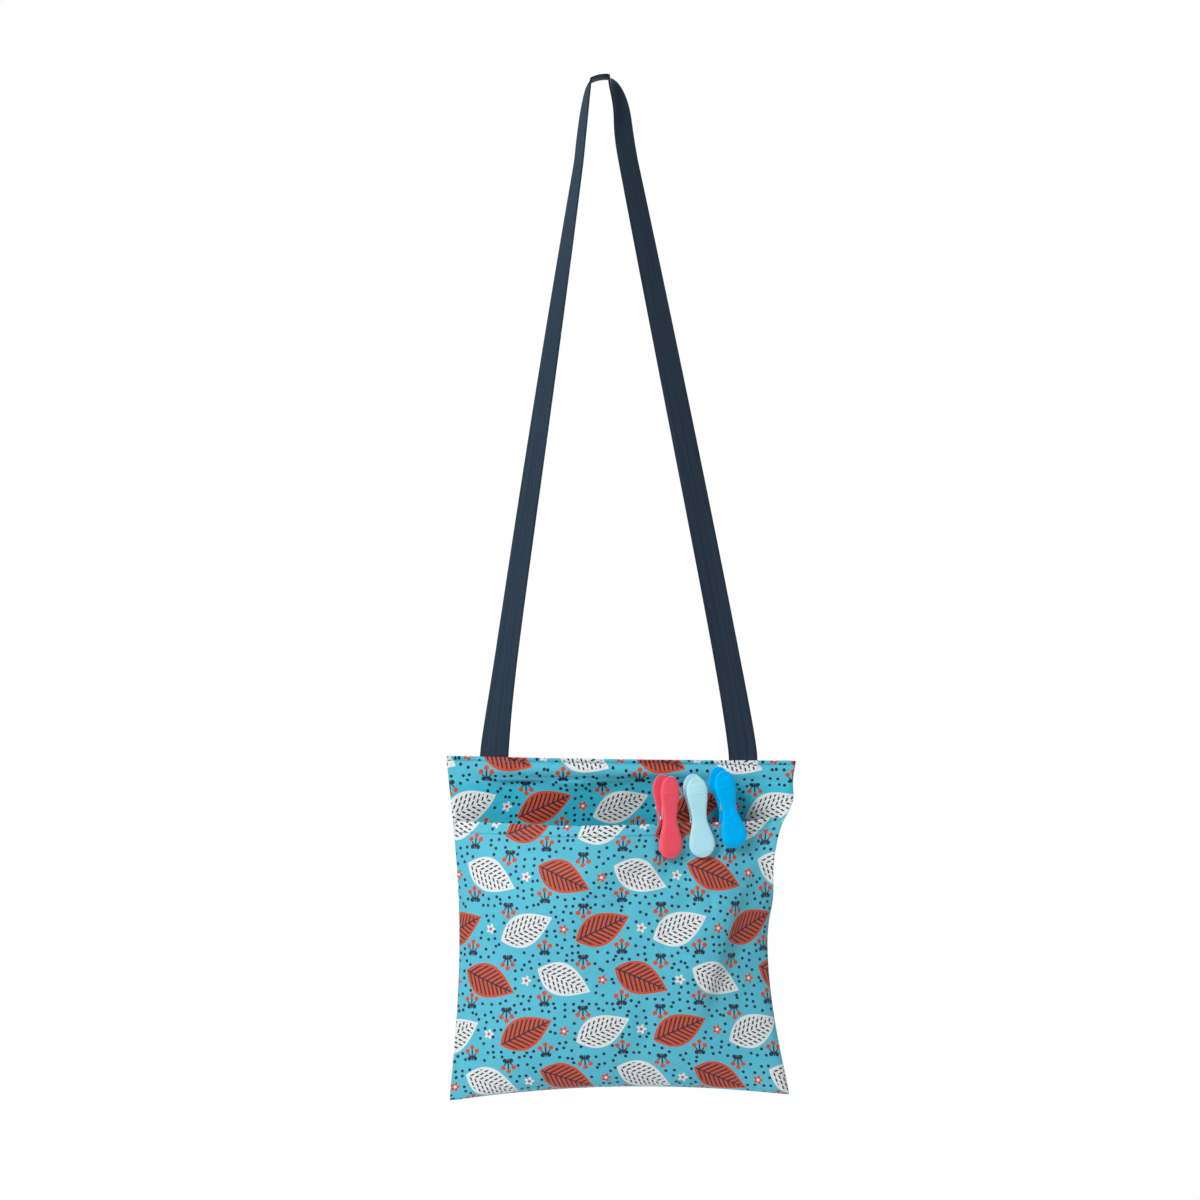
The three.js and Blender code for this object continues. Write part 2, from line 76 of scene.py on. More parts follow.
# Bag outline: how far its sides and bottom are drawn in
LEFT_TAPER = 3 * MM
RIGHT_TAPER = 6 * MM
LEFT_DRAW_IN = 10 * MM
RIGHT_DRAW_IN = 22 * MM
BOTTOM_ARCH = 9.5 * MM
BOTTOM_RISE = 5 * MM
PUCKER = 3.5 * MM
PUCKER_PLACE = 0.41
PUCKER_SPAN = 0.07
SHOULDER_BULGE = 6 * MM
SHOULDER_PLACE = 0.125
SHOULDER_SPAN = 0.055
TOP_TILT = 2.1 * MM
TOP_SAG = 1 * MM
MOUTH_LIFT = 3 * MM
MOUTH_LIFT_START = 0.75

# Cloth layers: the seam that holds them, their bulges and the flat band along the top
CLOTH = 0.9 * MM
SEAM_Y = -1.8 * MM
POCKET_SEAM_Y = -2.9 * MM
LAYER = 0.6 * MM
BAND_HEIGHT = 16 * MM
HELD_HEIGHT = 1.25 * BAND_HEIGHT
BAND_ROLL = 2.2 * MM
BAND_GROOVE = 1.5 * MM
GROOVE_SPAN = 1.6 * MM
BAND_TUCK = 5 * MM
TUCK_START = 12 * MM
TUCK_END = 28 * MM
TUCK_WAVE = 2 * MM
TUCK_WAVES = 2.6
TUCK_FADE_END = 3 * MOUTH_DROP
BACK_BULGE = 28 * MM
BACK_FULLNESS = 1.4
MOUTH_FULLNESS = 2
SIDE_FULLNESS = 3.6
SIDE_FULL_START = 0.1
SIDE_FULL_END = 0.4
BELLY_SLOPE = 0.6
LEFT_BELLY_ROLL = 11
RIGHT_BELLY_ROLL = 6
UPRIGHT_HEIGHT = 40 * MM
MOUTH_FLARE = 8.5 * DEGREE
FLARE_START = 0.25
FLARE_FULL = 0.6
FLARE_END_SPAN = 0.2
FLARE_ROUND = 9 * MM
LINING_TUCK = 3 * MM
LINING_TUCK_END = 1.3 * MOUTH_DROP
STRAP_MARGIN = 4 * MM

# Hem and sewing
HEM_HEIGHT = 10 * MM
HEM_ROLL = 0.75 * MM
EDGE_ROLL = 0.55 * MM
EDGE_TURN = 150 * DEGREE
TURN_STEPS = 6
HEM_STEPS = 4
CORNER_EASE = 6 * MM
CORNER_ROLL = 0.05
THREAD = 0.45 * MM
STITCH = 2.4 * MM
STITCH_GAP = 0.5 * MM
STITCH_BODY = 0.6 * STITCH
THREAD_SIDES = 6
HEM_STITCH_DROP = 8.6 * MM
TOP_STITCH_DROP = 3 * MM
OVERLOCK_WIDTH = 4.5 * MM
OVERLOCK_INSET = 1 * MM
OVERLOCK_LIFT = 1.5 * CLOTH
OVERLOCK_CORNER = 16 * MM
OVERLOCK_PITCH = 2.6 * MM
OVERLOCK_SLANT = 55 * DEGREE

# Strap route: its leads, crown and twist
TAIL_LENGTH = 10 * MM
LEG_LEAD = 25 * MM
LEG_PULL = 0.4
CROWN_LENGTH = 15 * MM
CROWN_RISE = 0.6 * MM
CROWN_TILT = 1 * MM
CROWN_ARCH = 2.4 * MM
SHOULDER_DROP = 68 * MM
SHOULDER_WIDTH = {-1: 10.6 * MM, 1: 16.6 * MM}
SHOULDER_BOW = {-1: 0.65, 1: 0.9}
FOOT_TWIST = {-1: 39 * DEGREE, 1: 24 * DEGREE}
FOOT_TWIST_SHARE = 0.08
LEG_TWIST = {-1: 71 * DEGREE, 1: 46 * DEGREE}
CROWN_TWIST = 90 * DEGREE
RIGHT_ROLL = 75 * DEGREE
RIGHT_ROLL_PLACE = 25 * MM
RIGHT_ROLL_SPAN = 22 * MM

# Pegs: two moulded halves that pivot on a coil
PEGS = ("red", "aqua", "blue")
PEG_RISE = 35.5 * MM
PEG_REACH = 35.5 * MM
HEAD_HALF = 9.3 * MM
HEAD_LENGTH = 12.5 * MM
HEAD_Z = PEG_RISE - HEAD_LENGTH
WAIST_HALF = 6.5 * MM
JAW_RADIUS = 11.5 * MM
JAW_Z = JAW_RADIUS - PEG_REACH
JAW_INNER = 2.4 * MM
JAW_WALL = 4.0 * MM
END_THINNING = 0.3
JAW_TIP = 0.12
HEAD_START = 0.6
HEAD_TIP = 0.09
JAW_THINNING_LENGTH = 7 * MM
HEAD_THINNING_LENGTH = 20 * MM
HANDLE_SPLAY = 5.5 * DEGREE
WIRE = 1.4 * MM
COIL_RADIUS = 3.0 * MM
COIL_SEAT = 3.3 * MM
COIL_TURNS = 6.5
COIL_PITCH = 1.95 * MM
ARM_LENGTH = 18 * MM
RIB_COUNT = 5
RIB_LOW = 20.5 * MM
RIB_HIGH = 29.5 * MM
RIB_HEIGHT = 0.7 * MM
GRIP_MARGIN = 2 * MM
GRIP_DROP = 4 * MM

# Pocket folds: two ends as places right of the middle and below the top edge, height, reach on either side
FOLDS = (
    ((108 * MM, 92 * MM), (68 * MM, 205 * MM), 10 * MM, 36 * MM, 9 * MM),
    ((4 * MM, 86 * MM), (40 * MM, 104 * MM), -4 * MM, 11 * MM, 11 * MM),
    ((78 * MM, 96 * MM), (36 * MM, 120 * MM), 2 * MM, 9 * MM, 9 * MM),
    ((-118 * MM, 110 * MM), (-96 * MM, 235 * MM), 2 * MM, 10 * MM, 22 * MM),
)
FOLD_FADE = 0.3
FOLD_START = 0.7 * UPRIGHT_HEIGHT
FOLD_FULL = 1.1 * UPRIGHT_HEIGHT
FOLD_BOTTOM = 0.9
SEAM_FADE = 4

# Mesh steps
PANEL_COLUMNS = 100
STRAP_STEPS = 8
POCKET_ROWS = 76
WALL_ROWS = 70
BAND_ROWS = 20
HEM_POINTS = 200
TAIL_POINTS = 6
LEG_POINTS = 120
SHOULDER_POINTS = 40
ARCH_POINTS = 9
SIDE_SEAM_POINTS = 60
BOTTOM_SEAM_POINTS = 80
ARM_POINTS = 6
COIL_POINTS = 24
PEG_END_RINGS = 7
NECK_RINGS = 9
SEAT_RINGS = 9
HANDLE_RINGS = 8

# Cloth that hangs: share of spare cloth, and the solver's settings
SPARE_CLOTH = 0.025
HANG_FRAMES = 26
SOLVER_STEPS = 6
AIR_DAMPING = 2
CLOTH_MASS = 0.002
CLOTH_STIFFNESS = 15
CLOTH_BENDING = 0.5
POCKET_PRESSURE = 0.6
WALL_PRESSURE = -1.5
RIPPLE = 0.8 * MM
SET_RIPPLE = 0.7
RIPPLES = 7
RIPPLE_LENGTHS = (45 * MM, 110 * MM)
RIPPLE_SEED = 5


def clear_selection():
    if bpy.context.object and bpy.context.object.mode != "OBJECT":
        bpy.ops.object.mode_set(mode="OBJECT")
    bpy.ops.object.select_all(action="DESELECT")


def make_active(piece):
    clear_selection()
    piece.select_set(True)
    bpy.context.view_layer.objects.active = piece


def drop_piece(piece):
    make_active(piece)
    bpy.ops.object.delete()


def link_piece(name, data):
    piece = bpy.data.objects.new(name, data)
    bpy.context.collection.objects.link(piece)
    return piece


def name_active(name):
    piece = bpy.context.object
    piece.name = name
    piece.data.name = name
    return piece


def run_along(line):
    steps = np.linalg.norm(np.diff(line, axis=0), axis=1)
    return np.concatenate([[0], steps.cumsum()])


def smoothstep(value, low, high):
    share = np.clip((value - low) / (high - low), 0, 1)
    return share * share * (3 - 2 * share)


def apply_modifier(piece, kind, **settings):
    make_active(piece)
    modifier = piece.modifiers.new(kind.title(), kind)
    for setting, value in settings.items():
        setattr(modifier, setting, value)
    bpy.ops.object.modifier_apply(modifier=modifier.name)


def subdivide_smooth(piece, levels):
    apply_modifier(piece, "SUBSURF", levels=levels, render_levels=levels)
    piece.data.shade_smooth()


# Colours and shader nodes
def linear(red, green, blue):
    channels = [value / 255 for value in (red, green, blue)]
    return tuple(c / 12.92 if c <= 0.04045 else ((c + 0.055) / 1.055) ** 2.4 for c in channels) + (1.0,)


def start_finish(name, roughness):
    finish = bpy.data.materials.new(name)
    finish.use_nodes = True
    shader = finish.node_tree.nodes["Principled BSDF"]
    shader.inputs["Roughness"].default_value = roughness
    return finish, finish.node_tree, shader


def feed(tree, socket, value):
    if isinstance(value, bpy.types.NodeSocket):
        tree.links.new(value, socket)
    else:
        socket.default_value = value


def calc(tree, operation, *values, clamp=False):
    node = tree.nodes.new("ShaderNodeMath")
    node.operation = operation
    node.use_clamp = clamp
    for socket, value in zip(node.inputs, values):
        feed(tree, socket, value)
    return node.outputs[0]


def mix_colour(tree, share, below, above):
    node = tree.nodes.new("ShaderNodeMix")
    node.data_type = "RGBA"
    for socket, value in ((node.inputs[0], share), (node.inputs[6], below), (node.inputs[7], above)):
        feed(tree, socket, value)
    return node.outputs[2]


def coordinates(tree, kind):
    place = tree.nodes.new("ShaderNodeTexCoord").outputs[kind]
    split = tree.nodes.new("ShaderNodeSeparateXYZ")
    tree.links.new(place, split.inputs[0])
    return place, split.outputs


def noise(tree, place, scale, detail=3):
    node = tree.nodes.new("ShaderNodeTexNoise")
    node.inputs["Scale"].default_value = scale
    node.inputs["Detail"].default_value = detail
    tree.links.new(place, node.inputs["Vector"])
    return node.outputs["Fac"]


def add_bump(tree, shader, height, distance, strength=1.0):
    node = tree.nodes.new("ShaderNodeBump")
    node.inputs["Strength"].default_value = strength
    node.inputs["Distance"].default_value = distance
    tree.links.new(height, node.inputs["Height"])
    tree.links.new(node.outputs[0], shader.inputs["Normal"])


def wave(tree, value, pitch):
    return calc(tree, "SINE", calc(tree, "MULTIPLY", value, 2 * math.pi / pitch))


# Printed cloth: leaves in a brick layout, florets, berry sprigs and scattered dots, over a plain weave
LEAF_CELL = (66 * MM, 45 * MM)
LEAF_LENGTH = 25 * MM
LEAF_WIDTH = 14 * MM
LEAF_TURN = 24 * DEGREE
LEAF_TAPER = 0.3
LEAF_MARGIN = 2.2 * MM
SPINE_INK = 0.6 * MM
VEIN_SLANT = 0.8
VEIN_PITCH = 4.6 * MM
VEIN_INK = 0.9 * MM
DASH_PITCH = 3.9 * MM
DASH_INK = 1.35 * MM
FLORET = 4.6 * MM
PETALS = 5
PETAL_DEPTH = 0.24
FLORET_EYE = 0.3 * FLORET
BERRY = 2.1 * MM
BERRY_SPREAD = 4.6 * MM
SPRIG_HEIGHT = 12 * MM
SPRIG_SHIFT = 6 * MM
TOP_BERRY = 0.45 * SPRIG_HEIGHT
SIDE_BERRY = 0.18 * SPRIG_HEIGHT
FORK_RISE = 0.45 * SPRIG_HEIGHT
FORK_DROP = 0.27 * SPRIG_HEIGHT
FORK_THINNING = 0.7
BUD = 1.9 * MM
BUD_DROP = 0.36 * SPRIG_HEIGHT
BUD_SPREAD = 0.6 * BERRY_SPREAD
STEM = 0.65 * MM
DOT_SPACING = 7 * MM
DOT_RADIUS = 1.4 * MM
DOT_SCATTER = 0.7
DOT_MARGIN = 0.6 * MM
INK_EDGE = 0.25 * MM
POCKET_PRINT_SHIFT = (11 * MM, 8 * MM)
BACK_PRINT_SHIFT = 21 * MM
WEAVE_PITCH = 0.7 * MM
WEAVE_HEIGHT = 0.08 * MM
WEAVE_TONE = 0.05
WEAVE_BUMP = 0.6
MOTTLE_SCALE = 900
MOTTLE_TONE = 0.16
MOTTLE_BUMP = 0.6
LEAST_TONE = 0.9
CLOTH_ROUGHNESS = 0.6
CLOTH_SHEEN = 0.06
POCKET_GLOSS = 0.45
WALL_GLOSS = 0.3

GROUND = linear(78, 184, 208)
# Painted shade: a darker ground for the wall below its top band, where the lining lies in shade
PAINTED_SHADE_GROUND = linear(44, 186, 213)
ORANGE = linear(198, 74, 38)
CREAM = linear(222, 226, 226)
INK = linear(14, 24, 46)


def inked(tree, distance):
    return calc(tree, "MULTIPLY_ADD", distance, 1 / INK_EDGE, 0.5, clamp=True)


def cell(tree, value, size):
    share = calc(tree, "DIVIDE", value, size)
    index = calc(tree, "FLOOR", share)
    middle = calc(tree, "SUBTRACT", calc(tree, "SUBTRACT", share, index), 0.5)
    return index, calc(tree, "MULTIPLY", middle, size)


def odd(tree, index):
    return calc(tree, "PINGPONG", index, 1.0)


def brick_cells(tree, x, y, size):
    row, up = cell(tree, y, size[1])
    shifted = calc(tree, "MULTIPLY_ADD", odd(tree, row), size[0] / 2, x)
    column, along = cell(tree, shifted, size[0])
    return row, column, along, up


def leaf_print(tree, x, y):
    row, column, along, up = brick_cells(tree, x, y, LEAF_CELL)
    lean = calc(tree, "MULTIPLY_ADD", odd(tree, row), 2 * math.sin(LEAF_TURN), -math.sin(LEAF_TURN))
    level = math.cos(LEAF_TURN)
    spine = calc(tree, "MULTIPLY_ADD", along, level, calc(tree, "MULTIPLY", up, lean))
    side = calc(tree, "SUBTRACT", calc(tree, "MULTIPLY", up, level), calc(tree, "MULTIPLY", along, lean))
    side = calc(tree, "ABSOLUTE", side)
    reach = calc(tree, "DIVIDE", spine, LEAF_LENGTH)
    round_off = calc(tree, "SUBTRACT", 1.0, calc(tree, "MULTIPLY", reach, reach))
    fuller = calc(tree, "MULTIPLY_ADD", reach, -LEAF_TAPER, 1.0)
    edge = calc(tree, "MULTIPLY", calc(tree, "MULTIPLY", round_off, fuller), LEAF_WIDTH)
    inside = calc(tree, "SUBTRACT", edge, side)
    veins = calc(tree, "MULTIPLY_ADD", side, -VEIN_SLANT, spine)
    vein = cell(tree, veins, VEIN_PITCH)[1]
    vein_ink = calc(tree, "SUBTRACT", VEIN_INK, calc(tree, "ABSOLUTE", vein))
    margin = calc(tree, "SUBTRACT", inside, LEAF_MARGIN)
    vein_ink = calc(tree, "MINIMUM", vein_ink, margin)
    spine_ink = calc(tree, "SUBTRACT", SPINE_INK, side)
    spine_ink = calc(tree, "MINIMUM", spine_ink, margin)
    dash = cell(tree, side, DASH_PITCH)[1]
    dash_gap = calc(tree, "SUBTRACT", DASH_INK, calc(tree, "ABSOLUTE", dash))
    dashes = calc(tree, "MINIMUM", vein_ink, dash_gap)
    orange = odd(tree, calc(tree, "ADD", column, calc(tree, "FLOOR", calc(tree, "DIVIDE", row, 2.0))))
    lines = calc(tree, "MAXIMUM", vein_ink, spine_ink)
    return inside, orange, lines, dashes


def distance(tree, x, y):
    return calc(tree, "SQRT", calc(tree, "ADD", calc(tree, "MULTIPLY", x, x), calc(tree, "MULTIPLY", y, y)))


def floret_print(tree, x, y):
    shifted_x = calc(tree, "ADD", x, LEAF_CELL[0] / 2)
    _, column, along, up = brick_cells(tree, shifted_x, y, LEAF_CELL)
    angle = calc(tree, "ARCTAN2", up, along)
    reach = distance(tree, along, up)
    petals = calc(tree, "COSINE", calc(tree, "MULTIPLY", angle, PETALS))
    outline = calc(tree, "MULTIPLY_ADD", petals, PETAL_DEPTH * FLORET, (1 - PETAL_DEPTH) * FLORET)
    inside = calc(tree, "SUBTRACT", outline, reach)
    eye = calc(tree, "SUBTRACT", FLORET_EYE, reach)
    return inside, eye, odd(tree, column)


# Three berries and two dark buds on a forked stem, upright and upside-down by turns
def sprig_print(tree, x, y):
    width, height = LEAF_CELL[0] / 2, LEAF_CELL[1]
    up = cell(tree, calc(tree, "ADD", y, height / 2), height)[1]
    column, along = cell(tree, x, width)
    way = calc(tree, "MULTIPLY_ADD", odd(tree, column), -2.0, 1.0)
    up = calc(tree, "SUBTRACT", calc(tree, "MULTIPLY", up, way), SPRIG_SHIFT)
    side = calc(tree, "ABSOLUTE", along)
    top = calc(tree, "SUBTRACT", up, TOP_BERRY)
    low = calc(tree, "SUBTRACT", up, SIDE_BERRY)
    to_top = distance(tree, side, top)
    to_low = distance(tree, calc(tree, "SUBTRACT", side, BERRY_SPREAD), low)
    berries = calc(tree, "SUBTRACT", BERRY, calc(tree, "MINIMUM", to_top, to_low))
    stem = calc(tree, "MINIMUM", calc(tree, "SUBTRACT", STEM, side),
                calc(tree, "SUBTRACT", SPRIG_HEIGHT / 2, calc(tree, "ABSOLUTE", up)))
    curve = -FORK_RISE / BERRY_SPREAD ** 2
    fork = calc(tree, "MULTIPLY_ADD", calc(tree, "MULTIPLY", side, side), curve, up)
    fork = calc(tree, "ABSOLUTE", calc(tree, "ADD", fork, FORK_DROP))
    fork = calc(tree, "MINIMUM", calc(tree, "SUBTRACT", STEM, calc(tree, "MULTIPLY", fork, FORK_THINNING)),
                calc(tree, "SUBTRACT", BERRY_SPREAD, side))
    to_bud = distance(tree, calc(tree, "SUBTRACT", side, BUD_SPREAD), calc(tree, "ADD", up, BUD_DROP))
    stems = calc(tree, "MAXIMUM", calc(tree, "MAXIMUM", stem, fork), calc(tree, "SUBTRACT", BUD, to_bud))
    return berries, stems


# Scattered dots, left out where one would touch another motif
def dot_print(tree, place):
    scatter = tree.nodes.new("ShaderNodeTexVoronoi")
    scatter.voronoi_dimensions = "2D"
    scatter.inputs["Scale"].default_value = 1 / DOT_SPACING
    scatter.inputs["Randomness"].default_value = DOT_SCATTER
    tree.links.new(place, scatter.inputs["Vector"])
    middle = tree.nodes.new("ShaderNodeSeparateXYZ")
    tree.links.new(scatter.outputs["Position"], middle.inputs[0])
    x, y = middle.outputs[0], middle.outputs[1]
    reach = calc(tree, "MULTIPLY", scatter.outputs["Distance"], DOT_SPACING)
    dot = calc(tree, "SUBTRACT", DOT_RADIUS, reach)
    for shape in (leaf_print(tree, x, y)[0], floret_print(tree, x, y)[0], *sprig_print(tree, x, y)):
        clear = calc(tree, "LESS_THAN", shape, -DOT_RADIUS - DOT_MARGIN)
        room = calc(tree, "MULTIPLY_ADD", clear, 2 * DOT_RADIUS, -DOT_RADIUS)
        dot = calc(tree, "MINIMUM", dot, room)
    return dot


# The rear wall's ground: as on the pocket along the top band, and darker below it as painted shade, where
# the lining lies back behind the pocket's mouth
def wall_ground_with_painted_shade(tree):
    z = coordinates(tree, "Object")[1][2]
    below_band = calc(tree, "SUBTRACT", BAG_TOP - BAND_HEIGHT, z)
    share = calc(tree, "DIVIDE", below_band, TUCK_END - BAND_HEIGHT, clamp=True)
    return mix_colour(tree, share, GROUND, PAINTED_SHADE_GROUND)


def printed_cloth(name, gloss, deep=False):
    finish, tree, shader = start_finish(name, CLOTH_ROUGHNESS)
    # With deep set, the ground darkens below the top band as painted shade
    ground = wall_ground_with_painted_shade(tree) if deep else GROUND
    place, (x, y, _) = coordinates(tree, "UV")
    leaf, orange, lines, dashes = leaf_print(tree, x, y)
    floret, eye, pale = floret_print(tree, x, y)
    berries, stems = sprig_print(tree, x, y)
    colour = mix_colour(tree, inked(tree, dot_print(tree, place)), ground, INK)
    colour = mix_colour(tree, inked(tree, stems), colour, INK)
    colour = mix_colour(tree, inked(tree, berries), colour, ORANGE)
    leaf_colour = mix_colour(tree, orange, CREAM, ORANGE)
    colour = mix_colour(tree, inked(tree, leaf), colour, leaf_colour)
    drawn = mix_colour(tree, orange, dashes, lines)
    colour = mix_colour(tree, inked(tree, drawn), colour, INK)
    colour = mix_colour(tree, inked(tree, floret), colour, mix_colour(tree, pale, ORANGE, CREAM))
    colour = mix_colour(tree, inked(tree, eye), colour, mix_colour(tree, pale, CREAM, ORANGE))
    threads = calc(tree, "MULTIPLY", wave(tree, x, WEAVE_PITCH), wave(tree, y, WEAVE_PITCH))
    mottle = noise(tree, place, MOTTLE_SCALE)
    tone = calc(tree, "MULTIPLY_ADD", mottle, MOTTLE_TONE, LEAST_TONE)
    tone = calc(tree, "MULTIPLY_ADD", threads, WEAVE_TONE, tone)
    toned = tree.nodes.new("ShaderNodeVectorMath")
    toned.operation = "SCALE"
    tree.links.new(colour, toned.inputs[0])
    tree.links.new(tone, toned.inputs["Scale"])
    tree.links.new(toned.outputs[0], shader.inputs["Base Color"])
    shader.inputs["Sheen Weight"].default_value = CLOTH_SHEEN
    shader.inputs["Specular IOR Level"].default_value = gloss
    height = calc(tree, "MULTIPLY_ADD", mottle, MOTTLE_BUMP, threads)
    add_bump(tree, shader, height, WEAVE_HEIGHT, WEAVE_BUMP)
    return finish


# Strap weave: fine ribs across, a twill and long streaks, darker along both edges
STRAP_RIB_PITCH = 0.9 * MM
TWILL_PITCH = 0.7 * MM
TWILL_SLANT = 1.3
STRAP_STREAKS = (420, 6, 1)
STRAP_MOTTLE = 1200
STRAP_EDGE = 2 * MM
STREAK_TONE = 0.9
STRAP_MOTTLE_TONE = 0.25
STRAP_EDGE_TONE = 0.25
STRAP_RIB_BUMP = 0.5
TWILL_BUMP = 0.4
STRAP_BUMP = 0.7
STRAP_BUMP_HEIGHT = 0.1 * MM
STRAP_ROUGHNESS = 0.8
STRAP_GLOSS = 0.06
STRAP_SHEEN = 0.15
STRAP_DARK = linear(20, 28, 40)
STRAP_LIGHT = linear(50, 65, 81)
STRAP_SHEEN_TINT = linear(140, 190, 215)


def strap_cloth():
    finish, tree, shader = start_finish("strap_weave", STRAP_ROUGHNESS)
    place, (x, y, _) = coordinates(tree, "UV")
    ribs = wave(tree, y, STRAP_RIB_PITCH)
    twill = wave(tree, calc(tree, "MULTIPLY_ADD", x, TWILL_SLANT, y), TWILL_PITCH)
    streak = tree.nodes.new("ShaderNodeMapping")
    streak.inputs["Scale"].default_value = STRAP_STREAKS
    tree.links.new(place, streak.inputs["Vector"])
    streaks = noise(tree, streak.outputs[0], 1.0)
    mottle = noise(tree, place, STRAP_MOTTLE)
    from_edge = calc(tree, "SUBTRACT", STRAP_WIDTH / 2, calc(tree, "ABSOLUTE", x))
    edge = calc(tree, "SUBTRACT", 1.0, calc(tree, "DIVIDE", from_edge, STRAP_EDGE), clamp=True)
    shade = calc(tree, "MULTIPLY", mottle, STRAP_MOTTLE_TONE)
    shade = calc(tree, "MULTIPLY_ADD", streaks, STREAK_TONE, shade)
    shade = calc(tree, "SUBTRACT", shade, calc(tree, "MULTIPLY", edge, STRAP_EDGE_TONE), clamp=True)
    colour = mix_colour(tree, shade, STRAP_DARK, STRAP_LIGHT)
    tree.links.new(colour, shader.inputs["Base Color"])
    shader.inputs["Sheen Weight"].default_value = STRAP_SHEEN
    shader.inputs["Sheen Tint"].default_value = STRAP_SHEEN_TINT
    shader.inputs["Specular IOR Level"].default_value = STRAP_GLOSS
    height = calc(tree, "MULTIPLY_ADD", twill, TWILL_BUMP, mottle)
    height = calc(tree, "MULTIPLY_ADD", ribs, STRAP_RIB_BUMP, height)
    add_bump(tree, shader, height, STRAP_BUMP_HEIGHT, STRAP_BUMP)
    return finish


# Twisted thread: a fine ply in two tones
THREAD_PLY = 0.35 * MM
PLY_TONE = 0.3
PLY_HEIGHT = 0.05 * MM
THREAD_ROUGHNESS = 0.7
THREAD_SHEEN = 0.2
THREAD_DARK = linear(46, 132, 155)
THREAD_LIGHT = linear(76, 170, 194)


def thread_finish():
    finish, tree, shader = start_finish("sewing_thread", THREAD_ROUGHNESS)
    x, y, z = coordinates(tree, "Object")[1]
    ply = wave(tree, calc(tree, "ADD", x, calc(tree, "ADD", y, z)), THREAD_PLY)
    share = calc(tree, "MULTIPLY_ADD", ply, PLY_TONE, 0.5)
    colour = mix_colour(tree, share, THREAD_DARK, THREAD_LIGHT)
    tree.links.new(colour, shader.inputs["Base Color"])
    shader.inputs["Sheen Weight"].default_value = THREAD_SHEEN
    add_bump(tree, shader, ply, PLY_HEIGHT)
    return finish


# Satin plastic: slow flow marks in two close tones and a fine grain
FLOW_SCALE = 45
GRAIN_SCALE = 2600
PLASTIC_GLOSS = 0.25
PLASTIC_ROUGHNESS = 0.36
GRAIN_ROUGHNESS = (0.12, 0.32)
GRAIN_HEIGHT = 0.02 * MM
GRAIN_BUMP = 0.5


def peg_plastic(name, colour, deep):
    finish, tree, shader = start_finish(name, PLASTIC_ROUGHNESS)
    place, _ = coordinates(tree, "Object")
    flow = noise(tree, place, FLOW_SCALE, 2)
    grain = noise(tree, place, GRAIN_SCALE, 1)
    tree.links.new(mix_colour(tree, flow, deep, colour), shader.inputs["Base Color"])
    shader.inputs["Specular IOR Level"].default_value = PLASTIC_GLOSS
    shader.inputs["Specular Tint"].default_value = colour
    roughness = calc(tree, "MULTIPLY_ADD", grain, *GRAIN_ROUGHNESS)
    tree.links.new(roughness, shader.inputs["Roughness"])
    add_bump(tree, shader, grain, GRAIN_HEIGHT, GRAIN_BUMP)
    return finish


# Drawn steel wire: its tone and roughness change along the draw marks
STEEL_DARK = linear(170, 174, 180)
STEEL_LIGHT = linear(225, 227, 230)
DRAWN_SCALE = 1800
DRAWN_ROUGHNESS = (0.15, 0.18)
STEEL_ROUGHNESS = 0.25


def spring_steel():
    finish, tree, shader = start_finish("spring_steel", STEEL_ROUGHNESS)
    place, _ = coordinates(tree, "Object")
    drawn = noise(tree, place, DRAWN_SCALE, 2)
    tree.links.new(mix_colour(tree, drawn, STEEL_DARK, STEEL_LIGHT), shader.inputs["Base Color"])
    shader.inputs["Metallic"].default_value = 1.0
    roughness = calc(tree, "MULTIPLY_ADD", drawn, *DRAWN_ROUGHNESS)
    tree.links.new(roughness, shader.inputs["Roughness"])
    return finish


POCKET_FINISH = printed_cloth("printed_cloth", POCKET_GLOSS)
# The wall's finish carries painted shade: its ground darkens below the top band
WALL_FINISH = printed_cloth("printed_cloth_deep", WALL_GLOSS, deep=True)
STRAP_FINISH = strap_cloth()
THREAD_FINISH = thread_finish()
STEEL_FINISH = spring_steel()
PLASTICS = {
    "red": peg_plastic("red_plastic", linear(255, 96, 116), linear(250, 89, 109)),
    "aqua": peg_plastic("aqua_plastic", linear(180, 230, 240), linear(172, 224, 236)),
    "blue": peg_plastic("blue_plastic", linear(0, 187, 255), linear(0, 180, 252)),
}


def finish_piece(piece, material, body, slot, *nodes):
    piece.data.materials.clear()
    piece.data.materials.append(material)
    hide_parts(*nodes)
    if body:
        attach(piece, body)


# Bag surfaces: u runs from -1 at the left seam to 1 at the right, t from 0 at the top edge to 1 below
def half_width(u, t):
    taper = np.where(u < 0, LEFT_TAPER, RIGHT_TAPER)
    draw_in = np.where(u < 0, LEFT_DRAW_IN, RIGHT_DRAW_IN)
    fuller = PUCKER * np.exp(-((t - PUCKER_PLACE) / PUCKER_SPAN) ** 2)
    fuller = fuller + SHOULDER_BULGE * np.exp(-((t - SHOULDER_PLACE) / SHOULDER_SPAN) ** 2)
    return BAG_HALF_WIDTH - taper * t - draw_in * np.sin(np.pi * t) + np.where(u < 0, 0, fuller * u * u)


def bottom_depth(u):
    return BAG_HEIGHT - BOTTOM_ARCH * (1 - u * u) - BOTTOM_RISE * (1 + u) / 2


def on_bag(u, t, y):
    sag = (TOP_TILT * u + TOP_SAG * (1 - u * u)) * (1 - smoothstep(t, 0, MOUTH_DROP / BAG_HEIGHT))
    return np.stack([BAG_X + u * half_width(u, t), y, BAG_TOP - t * bottom_depth(u) - sag], axis=-1)


# 1 over a strap tail and 0 beside it
def near_strap(u):
    x = BAG_X + u * BAG_HALF_WIDTH
    to_foot = np.minimum(*(np.abs(x - foot) for foot in STRAP_FEET.values()))
    return 1 - smoothstep(to_foot, STRAP_WIDTH / 2, STRAP_WIDTH / 2 + STRAP_MARGIN)


def wall_seam(t):
    return (SEAM_Y + LAYER) * smoothstep(t * BAG_HEIGHT, BAND_HEIGHT, MOUTH_DROP)


